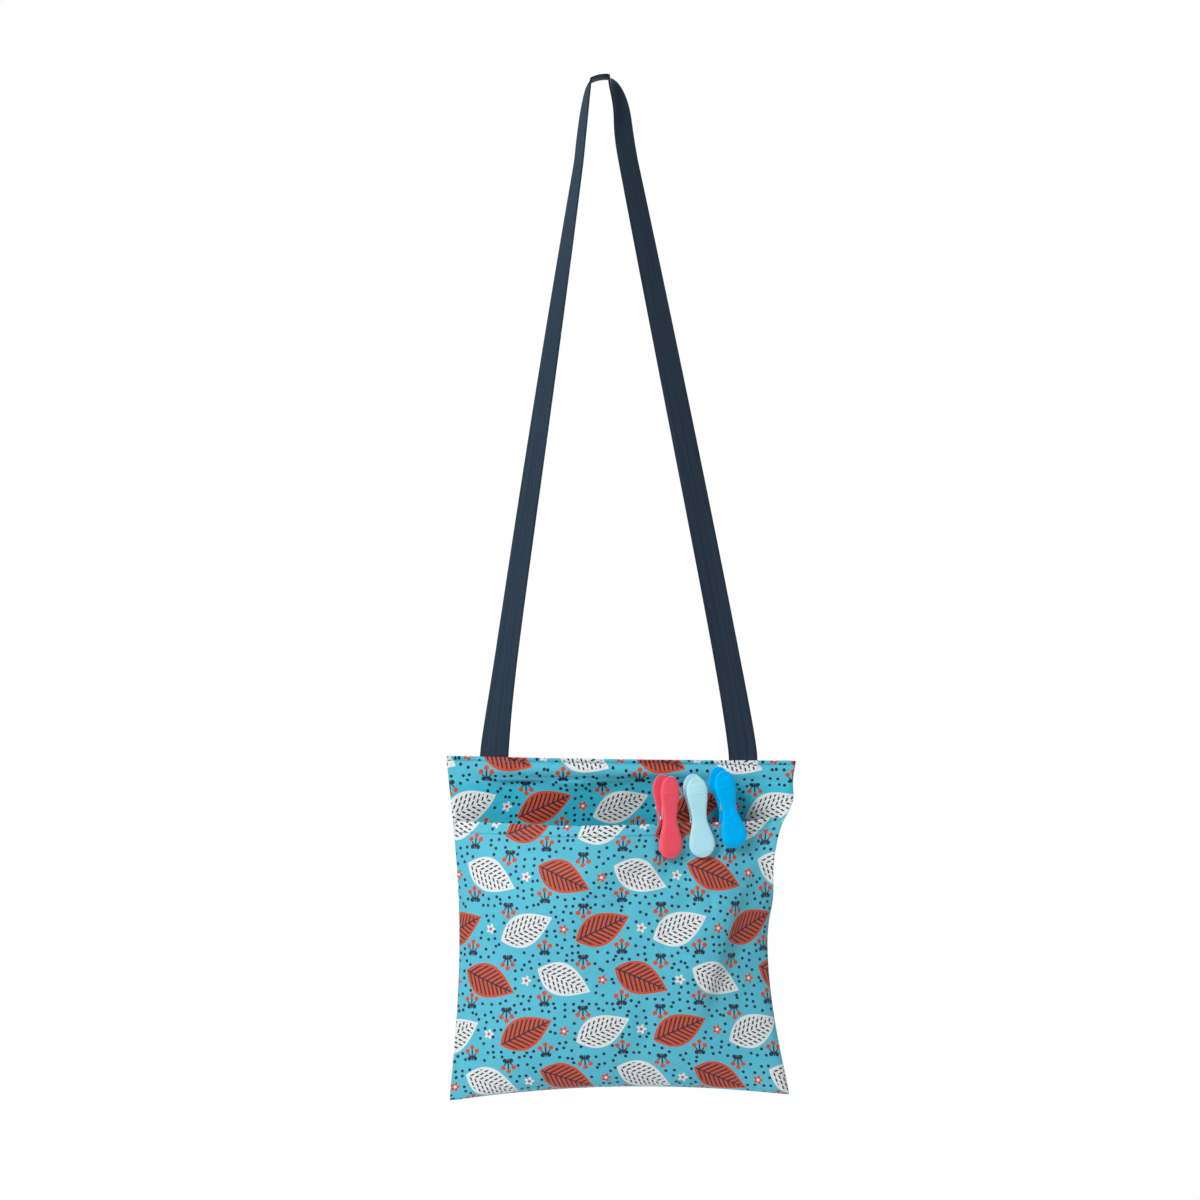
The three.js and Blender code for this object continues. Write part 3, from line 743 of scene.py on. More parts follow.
# The top band is drawn in at its stitches and rolls forward below them, and the cloth tucks back under it
def wall_depth(u, t):
    drop = t * BAG_HEIGHT
    fall = np.clip((drop - BAND_HEIGHT) / (BAG_HEIGHT - BAND_HEIGHT), 0, 1)
    on_roll = np.clip((drop - TOP_STITCH_DROP) / (BAND_HEIGHT - TOP_STITCH_DROP), 0, 1)
    roll = BAND_ROLL * np.sin(np.pi * on_roll)
    groove = BAND_GROOVE * np.exp(-((drop - TOP_STITCH_DROP) / GROOVE_SPAN) ** 2) * (1 - near_strap(u))
    wavy = drop + TUCK_WAVE * np.sin(TUCK_WAVES * np.pi * u)
    tuck = BAND_TUCK * smoothstep(wavy, TUCK_START, TUCK_END)
    tuck = tuck * (1 - smoothstep(drop, MOUTH_DROP, TUCK_FADE_END))
    bulge = BACK_BULGE * np.sin(np.pi * fall) ** BACK_FULLNESS
    return wall_seam(t) + groove + (1 - u * u) * (bulge + tuck - roll)


def peg_axes(colour):
    jaws = JOINTS[f"{colour}_peg_jaws"]
    up = Vector(JOINTS[f"{colour}_peg_pull_off"]["axis"]).normalized()
    return Vector(jaws["pos_m"]), -Vector(jaws["axis"]).normalized(), up


# Each peg holds the hem at its own place and slope, and the hem bends evenly from one to the next
def hem_plan():
    x, slope, front = [0.0], [0.0], []
    back = 0.0
    for colour in PEGS:
        pivot, across, up = peg_axes(colour)
        level = across * up.z - up * across.z
        on_hem = pivot - up * (pivot.z - MOUTH_Z) / up.z
        x.append(on_hem.x - BAG_X)
        slope.append(level.y / level.x)
        back += (x[-1] - x[-2]) * (slope[-1] + slope[-2]) / 2
        front.append(on_hem.y - back)
    bulge = POCKET_SEAM_Y - sum(front) / len(front) + HEM_ROLL
    x.append(float(half_width(1, MOUTH_DROP / BAG_HEIGHT)))
    slope.append(2 * (bulge - back) / (x[-1] - x[-2]) - slope[-1])
    along = np.linspace(0, x[-1], HEM_POINTS)
    slopes = np.interp(along, x, slope)
    steps = (slopes[1:] + slopes[:-1]) / 2 * along[1]
    return along, np.concatenate([[0], steps.cumsum()]), bulge


HEM_ALONG, HEM_BACK, MOUTH_BULGE = hem_plan()


# Share of the bulge across the pocket: as the pegs hold it along the mouth, and fuller to the sides below
def crown(u, s):
    right = 1 - np.interp(u * HEM_ALONG[-1], HEM_ALONG, HEM_BACK) / MOUTH_BULGE
    at_mouth = np.where(u < 0, 1 - np.abs(u) ** MOUTH_FULLNESS, right)
    below = 1 - np.abs(u) ** SIDE_FULLNESS
    share = smoothstep(s, SIDE_FULL_START, SIDE_FULL_END)
    return at_mouth + (below - at_mouth) * share


# How far the cloth leans back below the hem, on the side where the pegs weigh on it
def fall_back(u, drop):
    across = np.clip((u - FLARE_START) / (FLARE_FULL - FLARE_START), 0, 1)
    slope = math.tan(MOUTH_FLARE) * across * np.clip((1 - u) / FLARE_END_SPAN, 0, 1)
    past = drop - UPRIGHT_HEIGHT + FLARE_ROUND
    rounding = np.clip(past, 0, 2 * FLARE_ROUND) ** 2 / (4 * FLARE_ROUND)
    return slope * (np.minimum(drop, UPRIGHT_HEIGHT + FLARE_ROUND) - rounding)


def pocket_depth(u, s):
    upright = UPRIGHT_HEIGHT / POCKET_HEIGHT
    fall = np.clip((s - upright) / (1 - upright), 0, 1)
    roll = LEFT_BELLY_ROLL + (RIGHT_BELLY_ROLL - LEFT_BELLY_ROLL) * (1 + u) / 2
    belly = (1 - BELLY_SLOPE * fall) * np.sqrt(1 - fall ** roll)
    return POCKET_SEAM_Y - (MOUTH_BULGE * crown(u, s) - fall_back(u, s * POCKET_HEIGHT)) * belly


def on_pocket(u, s):
    lift = MOUTH_LIFT * smoothstep(u, MOUTH_LIFT_START, 1)
    mouth = (MOUTH_DROP - lift) / bottom_depth(u)
    return on_bag(u, mouth + (1 - mouth) * s, pocket_depth(u, s))


# Rows of each panel from its lower edge up, closer together along the band
BAND_SHARE = HELD_HEIGHT / BAG_HEIGHT
WALL_DOWN = np.concatenate([np.linspace(1, BAND_SHARE, WALL_ROWS + 1),
                            np.linspace(BAND_SHARE, 0, BAND_ROWS + 1)[1:]])
POCKET_DOWN = np.linspace(1, 0, POCKET_ROWS + 1)


def panel_grid(down):
    return np.meshgrid(np.linspace(-1, 1, PANEL_COLUMNS + 1), down)


# Where each point of a panel lies on its flat cut, for the print
def flat_cut(points):
    steps = np.linalg.norm(np.diff(points, axis=1), axis=2)
    along = np.concatenate([np.zeros((len(points), 1)), steps.cumsum(axis=1)], axis=1)
    across = along - along[:, -1:] / 2
    rises = np.linalg.norm(np.diff(points, axis=0), axis=2).mean(axis=1)
    up = np.concatenate([[0], rises.cumsum()])
    return np.stack([across, np.broadcast_to(up[:, None], across.shape)], axis=2)


def add_grid(name, points):
    rows, columns = points.shape[:2]
    clear_selection()
    bpy.ops.mesh.primitive_grid_add(x_subdivisions=columns - 1, y_subdivisions=rows - 1, size=1)
    sheet = name_active(name)
    sheet.data.vertices.foreach_set("co", points.reshape(-1))
    sheet.data.update()
    return sheet


# Slight crossing waves that start the folds
def ripples(points):
    draw = np.random.default_rng(RIPPLE_SEED)
    lift = np.zeros(points.shape[:2])
    for _ in range(RIPPLES):
        length = draw.uniform(*RIPPLE_LENGTHS)
        heading, phase = draw.uniform(0, 2 * np.pi, 2)
        along = points[:, :, 0] * np.cos(heading) + points[:, :, 2] * np.sin(heading)
        lift += RIPPLE * np.sin(2 * np.pi * along / length + phase)
    return lift


def weigh(sheet, name, weights):
    group = sheet.vertex_groups.new(name=name)
    for index, weight in enumerate(weights.reshape(-1)):
        if weight > 0:
            group.add([index], float(weight), "REPLACE")
    return group.name


# Cloth sewn where hold is 1 and free elsewhere, with a little spare cloth that folds as it hangs
def hang_cloth(points, hold, spare, push):
    start = points.copy()
    start[:, :, 1] += ripples(points) * (1 - hold)
    sheet = add_grid("hanging_cloth", start)
    modifier = sheet.modifiers.new("Cloth", "CLOTH")
    settings = modifier.settings
    settings.vertex_group_mass = weigh(sheet, "Sewn", hold)
    settings.vertex_group_shrink = weigh(sheet, "Spare", spare)
    settings.shrink_min = 0.0
    settings.shrink_max = -SPARE_CLOTH
    settings.quality = SOLVER_STEPS
    settings.mass = CLOTH_MASS
    settings.tension_stiffness = CLOTH_STIFFNESS
    settings.compression_stiffness = CLOTH_STIFFNESS
    settings.shear_stiffness = CLOTH_STIFFNESS / 2
    settings.bending_stiffness = CLOTH_BENDING
    settings.air_damping = AIR_DAMPING
    settings.use_pressure = True
    settings.uniform_pressure_force = push
    modifier.collision_settings.use_collision = False
    modifier.collision_settings.use_self_collision = False
    modifier.point_cache.frame_start = 1
    modifier.point_cache.frame_end = HANG_FRAMES
    for step in range(1, HANG_FRAMES + 1):
        bpy.context.scene.frame_set(step)
    hung = sheet.evaluated_get(bpy.context.evaluated_depsgraph_get())
    settled = np.empty(points.size)
    hung.data.vertices.foreach_get("co", settled)
    bpy.context.scene.frame_set(1)
    drop_piece(sheet)
    return settled.reshape(points.shape)


def normals_of(points):
    across = np.gradient(points, axis=1)
    up = np.gradient(points, axis=0)
    normal = np.cross(across, up)
    return normal / np.linalg.norm(normal, axis=2, keepdims=True)


def set_places(sheet, places):
    corners = np.empty(len(sheet.data.loops), dtype=np.int32)
    sheet.data.loops.foreach_get("vertex_index", corners)
    sheet.data.uv_layers[0].data.foreach_set("uv", places.reshape(-1, 2)[corners].reshape(-1))


# Carries a panel on past one edge as a small roll to its inside, with a flat tail if it is a hem
def turn_edge(points, places, edge, radius, turn, tail=0.0):
    grids = [points, places, -normals_of(points)]
    if edge in ("left", "right"):
        grids = [grid.swapaxes(0, 1) for grid in grids]
    if edge in ("left", "bottom"):
        grids = [grid[::-1] for grid in grids]
    points, places, inward = grids
    out = points[-1] - points[-2]
    out = out / np.linalg.norm(out, axis=1, keepdims=True)
    way = places[-1] - places[-2]
    way = way / np.linalg.norm(way, axis=1, keepdims=True)
    run = run_along(points[-1])
    from_corner = np.minimum(run, run[-1] - run)[:, None]
    radius = radius * (CORNER_ROLL + (1 - CORNER_ROLL) * smoothstep(from_corner, 0, CORNER_EASE))
    rows, spots = [], []
    for angle in np.linspace(0, turn, TURN_STEPS + 1)[1:]:
        rows.append(points[-1] + radius * (np.sin(angle) * out + (1 - np.cos(angle)) * inward[-1]))
        spots.append(places[-1] + radius * angle * way)
    end, end_spot = rows[-1], spots[-1]
    for reach in np.linspace(0, tail, HEM_STEPS + 1)[1:] if tail else []:
        rows.append(end + reach * (np.cos(turn) * out + np.sin(turn) * inward[-1]))
        spots.append(end_spot + reach * way)
    grids = [np.concatenate([points, np.stack(rows)]), np.concatenate([places, np.stack(spots)])]
    if edge in ("left", "bottom"):
        grids = [grid[::-1] for grid in grids]
    if edge in ("left", "right"):
        grids = [grid.swapaxes(0, 1) for grid in grids]
    return grids


def turn_edges(points, places, *edges):
    for edge in edges:
        points, places = turn_edge(points, places, edge, EDGE_ROLL, EDGE_TURN)
    return points, places


def cloth_panel(name, points, print_place):
    sheet = add_grid(name, points)
    set_places(sheet, print_place)
    apply_modifier(sheet, "SOLIDIFY", thickness=CLOTH, offset=0.0)
    subdivide_smooth(sheet, 1)
    return sheet


# Rear wall: one hung surface that carries the lining in front and the outer back behind
def hang_wall():
    u, t = panel_grid(WALL_DOWN)
    points = on_bag(u, t, wall_depth(u, t))
    hold = np.zeros_like(u)
    hold[:, [0, -1]] = 1
    hold[0] = 1
    hold[t < BAND_SHARE] = 1
    wall = hang_cloth(points, hold, smoothstep(t * BAG_HEIGHT, BAND_HEIGHT, MOUTH_DROP), WALL_PRESSURE)
    in_pocket = t * BAG_HEIGHT > MOUTH_DROP
    wall[in_pocket, 1] = np.maximum(wall[in_pocket, 1], wall_seam(t)[in_pocket])
    return wall


# How far the folds lift the pocket's cloth; each fades out towards its two ends and under the pegs
def fold_lift(points, s):
    x = points[:, :, 0] - BAG_X
    drop = BAG_TOP - points[:, :, 2]
    lift = np.zeros_like(x)
    for start, end, height, left_reach, right_reach in FOLDS:
        run = np.subtract(end, start)
        length = np.hypot(*run)
        along = ((x - start[0]) * run[0] + (drop - start[1]) * run[1]) / length ** 2
        aside = ((x - start[0]) * run[1] - (drop - start[1]) * run[0]) / length
        reach = np.where(aside > 0, right_reach, left_reach)
        ends = smoothstep(along, -FOLD_FADE, FOLD_FADE)
        ends = ends * (1 - smoothstep(along, 1 - FOLD_FADE, 1 + FOLD_FADE))
        lift += height * np.exp(-(aside / reach) ** 2) * ends
    below_pegs = smoothstep(s * POCKET_HEIGHT, FOLD_START, FOLD_FULL)
    from_bottom = 1 - smoothstep(s, FOLD_BOTTOM, 1)
    return (lift + SET_RIPPLE * ripples(points)) * below_pegs * from_bottom


def hang_pocket():
    u, s = panel_grid(POCKET_DOWN)
    points = on_pocket(u, s)
    hold = np.zeros_like(u)
    hold[:, [0, -1]] = 1
    hold[0] = 1
    for colour in PEGS:
        jaw = peg_axes(colour)[0]
        near = np.abs(points[:, :, 0] - jaw.x) < JAW_RADIUS + GRIP_MARGIN
        gripped = points[:, :, 2] > jaw.z - PEG_REACH - GRIP_DROP
        hold[near & gripped] = 1
    spare = smoothstep(s * POCKET_HEIGHT, HEM_HEIGHT, UPRIGHT_HEIGHT)
    pocket = hang_cloth(points, hold, spare, POCKET_PRESSURE)
    pocket[:, :, 1] -= fold_lift(points, s) * (1 - u ** SEAM_FADE)
    pocket[:, :, 1] = np.minimum(pocket[:, :, 1], POCKET_SEAM_Y)
    return pocket


WALL = hang_wall()
POCKET = hang_pocket()


def strap_room(u, t):
    in_band = 1 - smoothstep(t * BAG_HEIGHT, TAIL_LENGTH, TAIL_LENGTH + 2 * STRAP_MARGIN)
    return STRAP_THICK / 2 * near_strap(u) * in_band


# The lining is cut narrower than the back below the mouth, where the side seams take in the pocket
def wall_sheets():
    u, t = panel_grid(WALL_DOWN)
    forward = normals_of(WALL)
    stand_off = (LAYER + strap_room(u, t))[:, :, None]
    lining = WALL + forward * stand_off
    cut = LINING_TUCK / BAG_HALF_WIDTH * smoothstep(t * BAG_HEIGHT, MOUTH_DROP, LINING_TUCK_END)
    lining[:, :, 0] = BAG_X + (lining[:, :, 0] - BAG_X) * (1 - cut)
    return lining, (WALL - forward * stand_off)[:, ::-1]


def wall_panels():
    flat = flat_cut(WALL)
    lining = cloth_panel("lining", *turn_edges(LINING, flat, "top", "left", "right"))
    shifted = flat + BACK_PRINT_SHIFT
    back = cloth_panel("outer_back", *turn_edges(BACK, shifted, "top", "left", "right", "bottom"))
    for panel, node in ((lining, "lining_panel"), (back, "back_panel")):
        finish_piece(panel, WALL_FINISH, "bag", "printed_cloth", node)


# Pocket: its mouth edge is folded to the inside as a hem
def pocket_panel():
    flat = flat_cut(POCKET) + POCKET_PRINT_SHIFT
    points, places = turn_edge(POCKET, flat, "top", HEM_ROLL, math.pi, HEM_HEIGHT)
    panel = cloth_panel("pocket", *turn_edges(points, places, "left", "right", "bottom"))
    finish_piece(panel, POCKET_FINISH, "bag", "printed_cloth", "pocket_panel")


LINING, BACK = wall_sheets()
wall_panels()
pocket_panel()


# Strap: one strip from seam to seam that twists edge-on over the crown
def bezier(points, q):
    q = np.asarray(q)[:, None]
    points = [np.asarray(p, dtype=float) for p in points]
    while len(points) > 1:
        points = [a * (1 - q) + b * q for a, b in zip(points, points[1:])]
    return points[0]


def strap_leg(side):
    middle = STRAP_THICK / 2
    foot = np.array([STRAP_FEET[side], BAG_TOP])
    tail = foot - [0, TAIL_LENGTH]
    lead = foot + [0, LEG_LEAD]
    top = np.array([side * (CROWN_LENGTH / 2 + SHOULDER_WIDTH[side]), -SHOULDER_DROP])
    pull = lead + (top - lead) * LEG_PULL
    crown_end = np.array([side * CROWN_LENGTH / 2, middle + CROWN_RISE + side * CROWN_TILT])
    height = crown_end[1] - top[1]
    rise = top - pull
    bend = top + [SHOULDER_BOW[side] * height * rise[0] / rise[1], height]
    up_tail = bezier([tail, foot], np.linspace(0, 1, TAIL_POINTS)[:-1])
    up_leg = bezier([foot, lead, pull, top], np.linspace(0, 1, LEG_POINTS))
    over = np.linspace(0, 1, SHOULDER_POINTS)[1:]
    run = run_along(up_leg)
    share = run / run[-1]
    leg_turns = FOOT_TWIST[side] * (1 - np.exp(-share / FOOT_TWIST_SHARE))
    leg_turns += (LEG_TWIST[side] - FOOT_TWIST[side]) * share ** 2
    over_turns = LEG_TWIST[side] + (CROWN_TWIST - LEG_TWIST[side]) * over ** 2
    route = np.concatenate([up_tail, up_leg, bezier([top, bend, crown_end], over)])
    return route, np.concatenate([np.zeros(len(up_tail)), leg_turns, over_turns])


def strap():
    left_route, left_turns = strap_leg(-1)
    right_route, right_turns = strap_leg(1)
    left_end, right_end = left_route[-1], right_route[-1]
    peak = (left_end + right_end) / 2 + [0, CROWN_ARCH]
    arch = bezier([left_end, peak, right_end], np.linspace(0, 1, ARCH_POINTS)[1:-1])
    route = np.concatenate([left_route, arch, right_route[::-1]])
    turns = np.concatenate([left_turns, np.full(len(arch), CROWN_TWIST), right_turns[::-1]])
    tangent = np.gradient(route, axis=0)
    tangent /= np.linalg.norm(tangent, axis=1, keepdims=True)
    along = run_along(route)
    to_front = np.array([0, -1, 0])
    inward = np.stack([tangent[:, 1], np.zeros(len(route)), -tangent[:, 0]], axis=1)
    middle = np.stack([route[:, 0], np.zeros(len(route)), route[:, 1]], axis=1)
    past_crown = along - along[len(left_route) + len(arch)]
    roll = RIGHT_ROLL * np.exp(-((past_crown - RIGHT_ROLL_PLACE) / RIGHT_ROLL_SPAN) ** 2)
    half = STRAP_STEPS // 2
    step = STRAP_WIDTH / STRAP_STEPS
    columns = {0: middle}
    for away in range(half):
        for side in (-1, 1):
            turn = (turns + roll * side * (away + 0.5) / STRAP_STEPS)[:, None]
            across = inward * np.cos(turn) + to_front * np.sin(turn)
            columns[side * (away + 1)] = columns[side * away] + side * step * across
    order = sorted(columns)
    strip = add_grid("strap", np.stack([columns[place] for place in order], axis=1))
    set_places(strip, np.stack([np.stack([np.full(len(route), place * step), along], axis=1)
                                for place in order], axis=1))
    apply_modifier(strip, "SOLIDIFY", thickness=STRAP_THICK, offset=0.0, use_even_offset=True)
    subdivide_smooth(strip, 1)
    finish_piece(strip, STRAP_FINISH, None, "strap", "strap_loop", "strap_tail_left", "strap_tail_right")
    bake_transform(strip)


strap()


# Peg halves: a moulded section drawn from the jaw to the head
def peg_inner(z):
    seat = math.sqrt(max(0.0, COIL_SEAT ** 2 - z * z))
    handle = COIL_SEAT + z * math.tan(HANDLE_SPLAY) if z > 0 else 0.0
    return max(JAW_INNER, seat, handle)


def peg_outer(z):
    splay = max(0.0, z) * math.tan(HANDLE_SPLAY)
    from_end, length = PEG_REACH + z, JAW_THINNING_LENGTH
    if z > 0:
        from_end, length = PEG_RISE - z, HEAD_THINNING_LENGTH
    thinning = END_THINNING * JAW_WALL * (1 - float(smoothstep(from_end, 0, length)))
    return JAW_INNER + JAW_WALL + splay - thinning


def peg_half_width(z):
    if z >= HEAD_Z:
        return HEAD_HALF * math.sqrt(max(0.0, 1 - ((z - HEAD_Z) / HEAD_LENGTH) ** 2))
    if z <= JAW_Z:
        return math.sqrt(max(0.0, JAW_RADIUS ** 2 - (z - JAW_Z) ** 2))
    widest, end = (HEAD_HALF, HEAD_Z) if z > 0 else (JAW_RADIUS, JAW_Z)
    return WAIST_HALF + (widest - WAIST_HALF) * float(smoothstep(z / end, 0, 1))


RIB_STEPS = np.linspace(RIB_LOW, RIB_HIGH, 2 * RIB_COUNT + 1)


def peg_heights():
    jaw = JAW_Z - JAW_RADIUS * np.cos(np.linspace(JAW_TIP, 1, PEG_END_RINGS) * math.pi / 2)
    neck = np.linspace(JAW_Z, -COIL_SEAT, NECK_RINGS)[1:-1]
    seat = np.linspace(-COIL_SEAT, COIL_SEAT, SEAT_RINGS)
    handle = np.linspace(COIL_SEAT, RIB_LOW, HANDLE_RINGS)[1:-1]
    head = HEAD_Z + HEAD_LENGTH * np.cos(np.linspace(HEAD_START, HEAD_TIP, PEG_END_RINGS) * math.pi / 2)
    return np.concatenate([jaw, neck, seat, handle, RIB_STEPS, head])


# Half of a section as shares of half the width and of the wall, from the inner face to the outer one
SECTION = [(0, 0), (0.45, 0), (0.86, 0), (0.98, 0.1), (1, 0.4),
           (0.97, 0.72), (0.82, 0.99), (0.42, 1), (0, 1)]
SECTION_RING = SECTION + [(-across, through) for across, through in SECTION[-2:0:-1]]
ON_RIB = 0.01 * MM


def peg_half(name, facing):
    heights = peg_heights()
    z = heights[0]
    half, inner = peg_half_width(z), peg_inner(z)
    wall = peg_outer(z) - inner
    clear_selection()
    bpy.ops.mesh.primitive_circle_add(vertices=len(SECTION_RING), radius=half, fill_type="NGON",
                                      location=(0, 0, 0))
    piece = name_active(name)
    for vertex, (across, through) in zip(piece.data.vertices, SECTION_RING):
        vertex.co = (across * half, inner + through * wall, z)
    bpy.ops.object.mode_set(mode="EDIT")
    bpy.ops.mesh.select_all(action="SELECT")
    for next_z in heights[1:]:
        next_half, next_inner = peg_half_width(next_z), peg_inner(next_z)
        next_wall = peg_outer(next_z) - next_inner
        rise = (0, next_inner - inner, next_z - z)
        bpy.ops.mesh.extrude_region_move(TRANSFORM_OT_translate={"value": rise})
        bpy.ops.transform.resize(value=(next_half / half, next_wall / wall, 1),
                                 center_override=(0, next_inner, next_z))
        z, half, inner, wall = next_z, next_half, next_inner, next_wall
    bpy.ops.object.mode_set(mode="OBJECT")
    for vertex in piece.data.vertices:
        x, y, z = vertex.co
        on_rib = np.abs(RIB_STEPS[1::2] - z).min() < ON_RIB
        on_face = abs(x) < peg_half_width(z) / 2 and y > (peg_inner(z) + peg_outer(z)) / 2
        if on_rib and on_face:
            vertex.co.y += RIB_HEIGHT
    bpy.ops.object.mode_set(mode="EDIT")
    bpy.ops.mesh.select_all(action="SELECT")
    if facing < 0:
        bpy.ops.transform.resize(value=(1, -1, 1), center_override=(0, 0, 0))
    bpy.ops.mesh.normals_make_consistent(inside=False)
    bpy.ops.object.mode_set(mode="OBJECT")
    subdivide_smooth(piece, 2)
    return piece


def spring_route():
    middle = COIL_RADIUS - WIRE / 2
    length = COIL_TURNS * COIL_PITCH
    lean = math.tan(HANDLE_SPLAY)
    heights = np.linspace(ARM_LENGTH, WIRE, ARM_POINTS)
    front_arm = [(-length / 2, -(middle + z * lean), z) for z in heights]
    rear_arm = [(length / 2, middle + z * lean, z) for z in heights[::-1]]
    coil = []
    for turn in np.linspace(0, COIL_TURNS, int(COIL_TURNS * COIL_POINTS) + 1):
        angle = math.pi + 2 * math.pi * turn
        coil.append((-length / 2 + COIL_PITCH * turn, middle * math.cos(angle), middle * math.sin(angle)))
    return front_arm + coil + rear_arm


def peg_spring(name):
    route = spring_route()
    line = bpy.data.curves.new(name, "CURVE")
    line.dimensions = "3D"
    line.bevel_depth = WIRE / 2
    line.bevel_resolution = 3
    line.use_fill_caps = True
    spline = line.splines.new("POLY")
    spline.points.add(len(route) - 1)
    for point, place in zip(spline.points, route):
        point.co = (*place, 1)
    make_active(link_piece(name, line))
    bpy.ops.object.convert(target="MESH")
    piece = bpy.context.object
    piece.data.shade_smooth()
    return piece


def peg_place(colour):
    pivot, across, up = peg_axes(colour)
    turn = Matrix((across, up.cross(across), up)).transposed().to_4x4()
    return Matrix.Translation(pivot) @ turn


def peg(colour):
    place = peg_place(colour)
    for end, facing in (("rear", 1), ("front", -1)):
        half = peg_half(f"{colour}_peg_{end}", facing)
        half.data.transform(place)
        node = f"{colour}_peg_{end}_half"
        finish_piece(half, PLASTICS[colour], f"{colour}_peg_{end}", f"{colour}_plastic", node)
    spring = peg_spring(f"{colour}_peg_coil")
    spring.data.transform(place)
    finish_piece(spring, STEEL_FINISH, None, "spring_wire", f"{colour}_peg_spring")
    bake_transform(spring)


for colour in PEGS:
    peg(colour)


# Sewing: one stitch is modelled once and copied along each line
# Each of its ends has two steps: reach as a share of the stitch, rise as a share of the thread, taper
STITCH_ENDS = ((0.14, -0.1, 0.85), (0.06, -0.45, 0.6))


def one_stitch():
    clear_selection()
    bpy.ops.mesh.primitive_cylinder_add(vertices=THREAD_SIDES, radius=THREAD / 2, depth=STITCH_BODY,
                                        rotation=(0, math.pi / 2, 0))
    stitch = bpy.context.object
    bpy.ops.object.transform_apply(location=True, rotation=True, scale=True)
    bpy.ops.object.mode_set(mode="EDIT")
    for end in (-1, 1):
        bpy.ops.mesh.select_all(action="DESELECT")
        cage = bmesh.from_edit_mesh(stitch.data)
        for face in cage.faces:
            face.select_set(face.normal.x * end > 0.9)
        bmesh.update_edit_mesh(stitch.data)
        for reach, rise, taper in STITCH_ENDS:
            bpy.ops.mesh.extrude_region_move(
                TRANSFORM_OT_translate={"value": (end * reach * STITCH, 0, rise * THREAD)})
            bpy.ops.transform.resize(value=(1, taper, taper),
                                     center_override=(end * STITCH / 2, 0, rise * THREAD))
    bpy.ops.object.mode_set(mode="OBJECT")
    return stitch


def copy_along(name, pattern, places):
    whole = bmesh.new()
    for place in places:
        known = len(whole.verts)
        whole.from_mesh(pattern.data)
        whole.verts.ensure_lookup_table()
        bmesh.ops.transform(whole, matrix=place, verts=whole.verts[known:])
    mesh = bpy.data.meshes.new(name)
    whole.to_mesh(mesh)
    whole.free()
    mesh.shade_smooth()
    return link_piece(name, mesh)


def stitch_places(line, facing, pitch):
    run = run_along(line)
    count = int(run[-1] / pitch)
    places = []
    for index in range(count):
        middle = (index + 0.5) * run[-1] / count
        at, before, after, out = (
            Vector([np.interp(s, run, curve[:, k]) for k in range(3)])
            for s, curve in ((middle, line), (middle - pitch / 2, line), (middle + pitch / 2, line),
                             (middle, facing)))
        along = (after - before).normalized()
        out = (out - along * out.dot(along)).normalized()
        turn = Matrix((along, out.cross(along), out)).transposed().to_4x4()
        places.append(Matrix.Translation(at) @ turn)
    return places


def row_at(points, down, t):
    place = np.interp(-t, -down, np.arange(len(down)))
    low = int(place)
    share = place - low
    return points[low] * (1 - share) + points[low + 1] * share


# A row of stitches on a panel's outer face, where t is its share of the way down the panel
def stitch_row(points, down, t, lift, side=1):
    line = row_at(points, down, t)[1:-1]
    out = row_at(normals_of(points), down, t)[1:-1]
    return stitch_places(line + out * lift, out * side, STITCH + STITCH_GAP)


def sewing(stitch):
    lift = (CLOTH + THREAD) / 2
    hem_share = HEM_STITCH_DROP / POCKET_HEIGHT
    places = stitch_row(POCKET, POCKET_DOWN, hem_share, lift)
    places += stitch_row(POCKET, POCKET_DOWN, hem_share, -lift - 2 * HEM_ROLL, -1)
    hem = copy_along("hem_stitches", stitch, places)
    finish_piece(hem, THREAD_FINISH, "bag", "thread", "mouth_hem_stitching")
    top_share = TOP_STITCH_DROP / BAG_HEIGHT
    places = stitch_row(LINING, WALL_DOWN, top_share, lift)
    places += stitch_row(BACK, WALL_DOWN, top_share, lift)
    top = copy_along("top_edge_stitches", stitch, places)
    finish_piece(top, THREAD_FINISH, "bag", "thread", "top_edge_stitching")


def on_lining(u, t):
    rows, columns = LINING.shape[:2]
    row = np.interp(-t, -WALL_DOWN, np.arange(rows))
    column = (u + 1) / 2 * (columns - 1)
    low_row = np.clip(row.astype(int), 0, rows - 2)
    low_column = np.clip(column.astype(int), 0, columns - 2)
    up = (row - low_row)[:, None]
    right = (column - low_column)[:, None]
    below = LINING[low_row, low_column] * (1 - right) + LINING[low_row, low_column + 1] * right
    above = LINING[low_row + 1, low_column] * (1 - right) + LINING[low_row + 1, low_column + 1] * right
    return below * (1 - up) + above * up


# Overlocked seam: a bound strip on the lining with slanting threads over it and a chain along one edge
def overlock(name, node, stitch, outer, inner):
    strip = np.stack([outer, (outer + inner) / 2, inner], axis=1)
    facing = normals_of(strip)
    facing = facing * np.sign(-facing[:, :, 1:2])
    strip = strip + facing * OVERLOCK_LIFT
    binding = add_grid(name, strip)
    apply_modifier(binding, "SOLIDIFY", thickness=CLOTH, offset=0.0, use_even_offset=True)
    lift = (CLOTH + THREAD) / 2
    out = facing[:, 1]
    middle = stitch_places(strip[:, 1] + out * lift, out, OVERLOCK_PITCH)
    stretch = Matrix.Diagonal((OVERLOCK_WIDTH / STITCH, 1, 1, 1))
    places = []
    for slant in (-OVERLOCK_SLANT, OVERLOCK_SLANT):
        places += [place @ Matrix.Rotation(slant, 4, "Z") @ stretch for place in middle]
    places += stitch_places(strip[:, 2] + out * lift, out, STITCH + STITCH_GAP)
    threads = copy_along(f"{name}_threads", stitch, places)
    make_active(binding)
    threads.select_set(True)
    bpy.ops.object.join()
    binding.data.shade_smooth()
    finish_piece(binding, THREAD_FINISH, "bag", "thread", node)


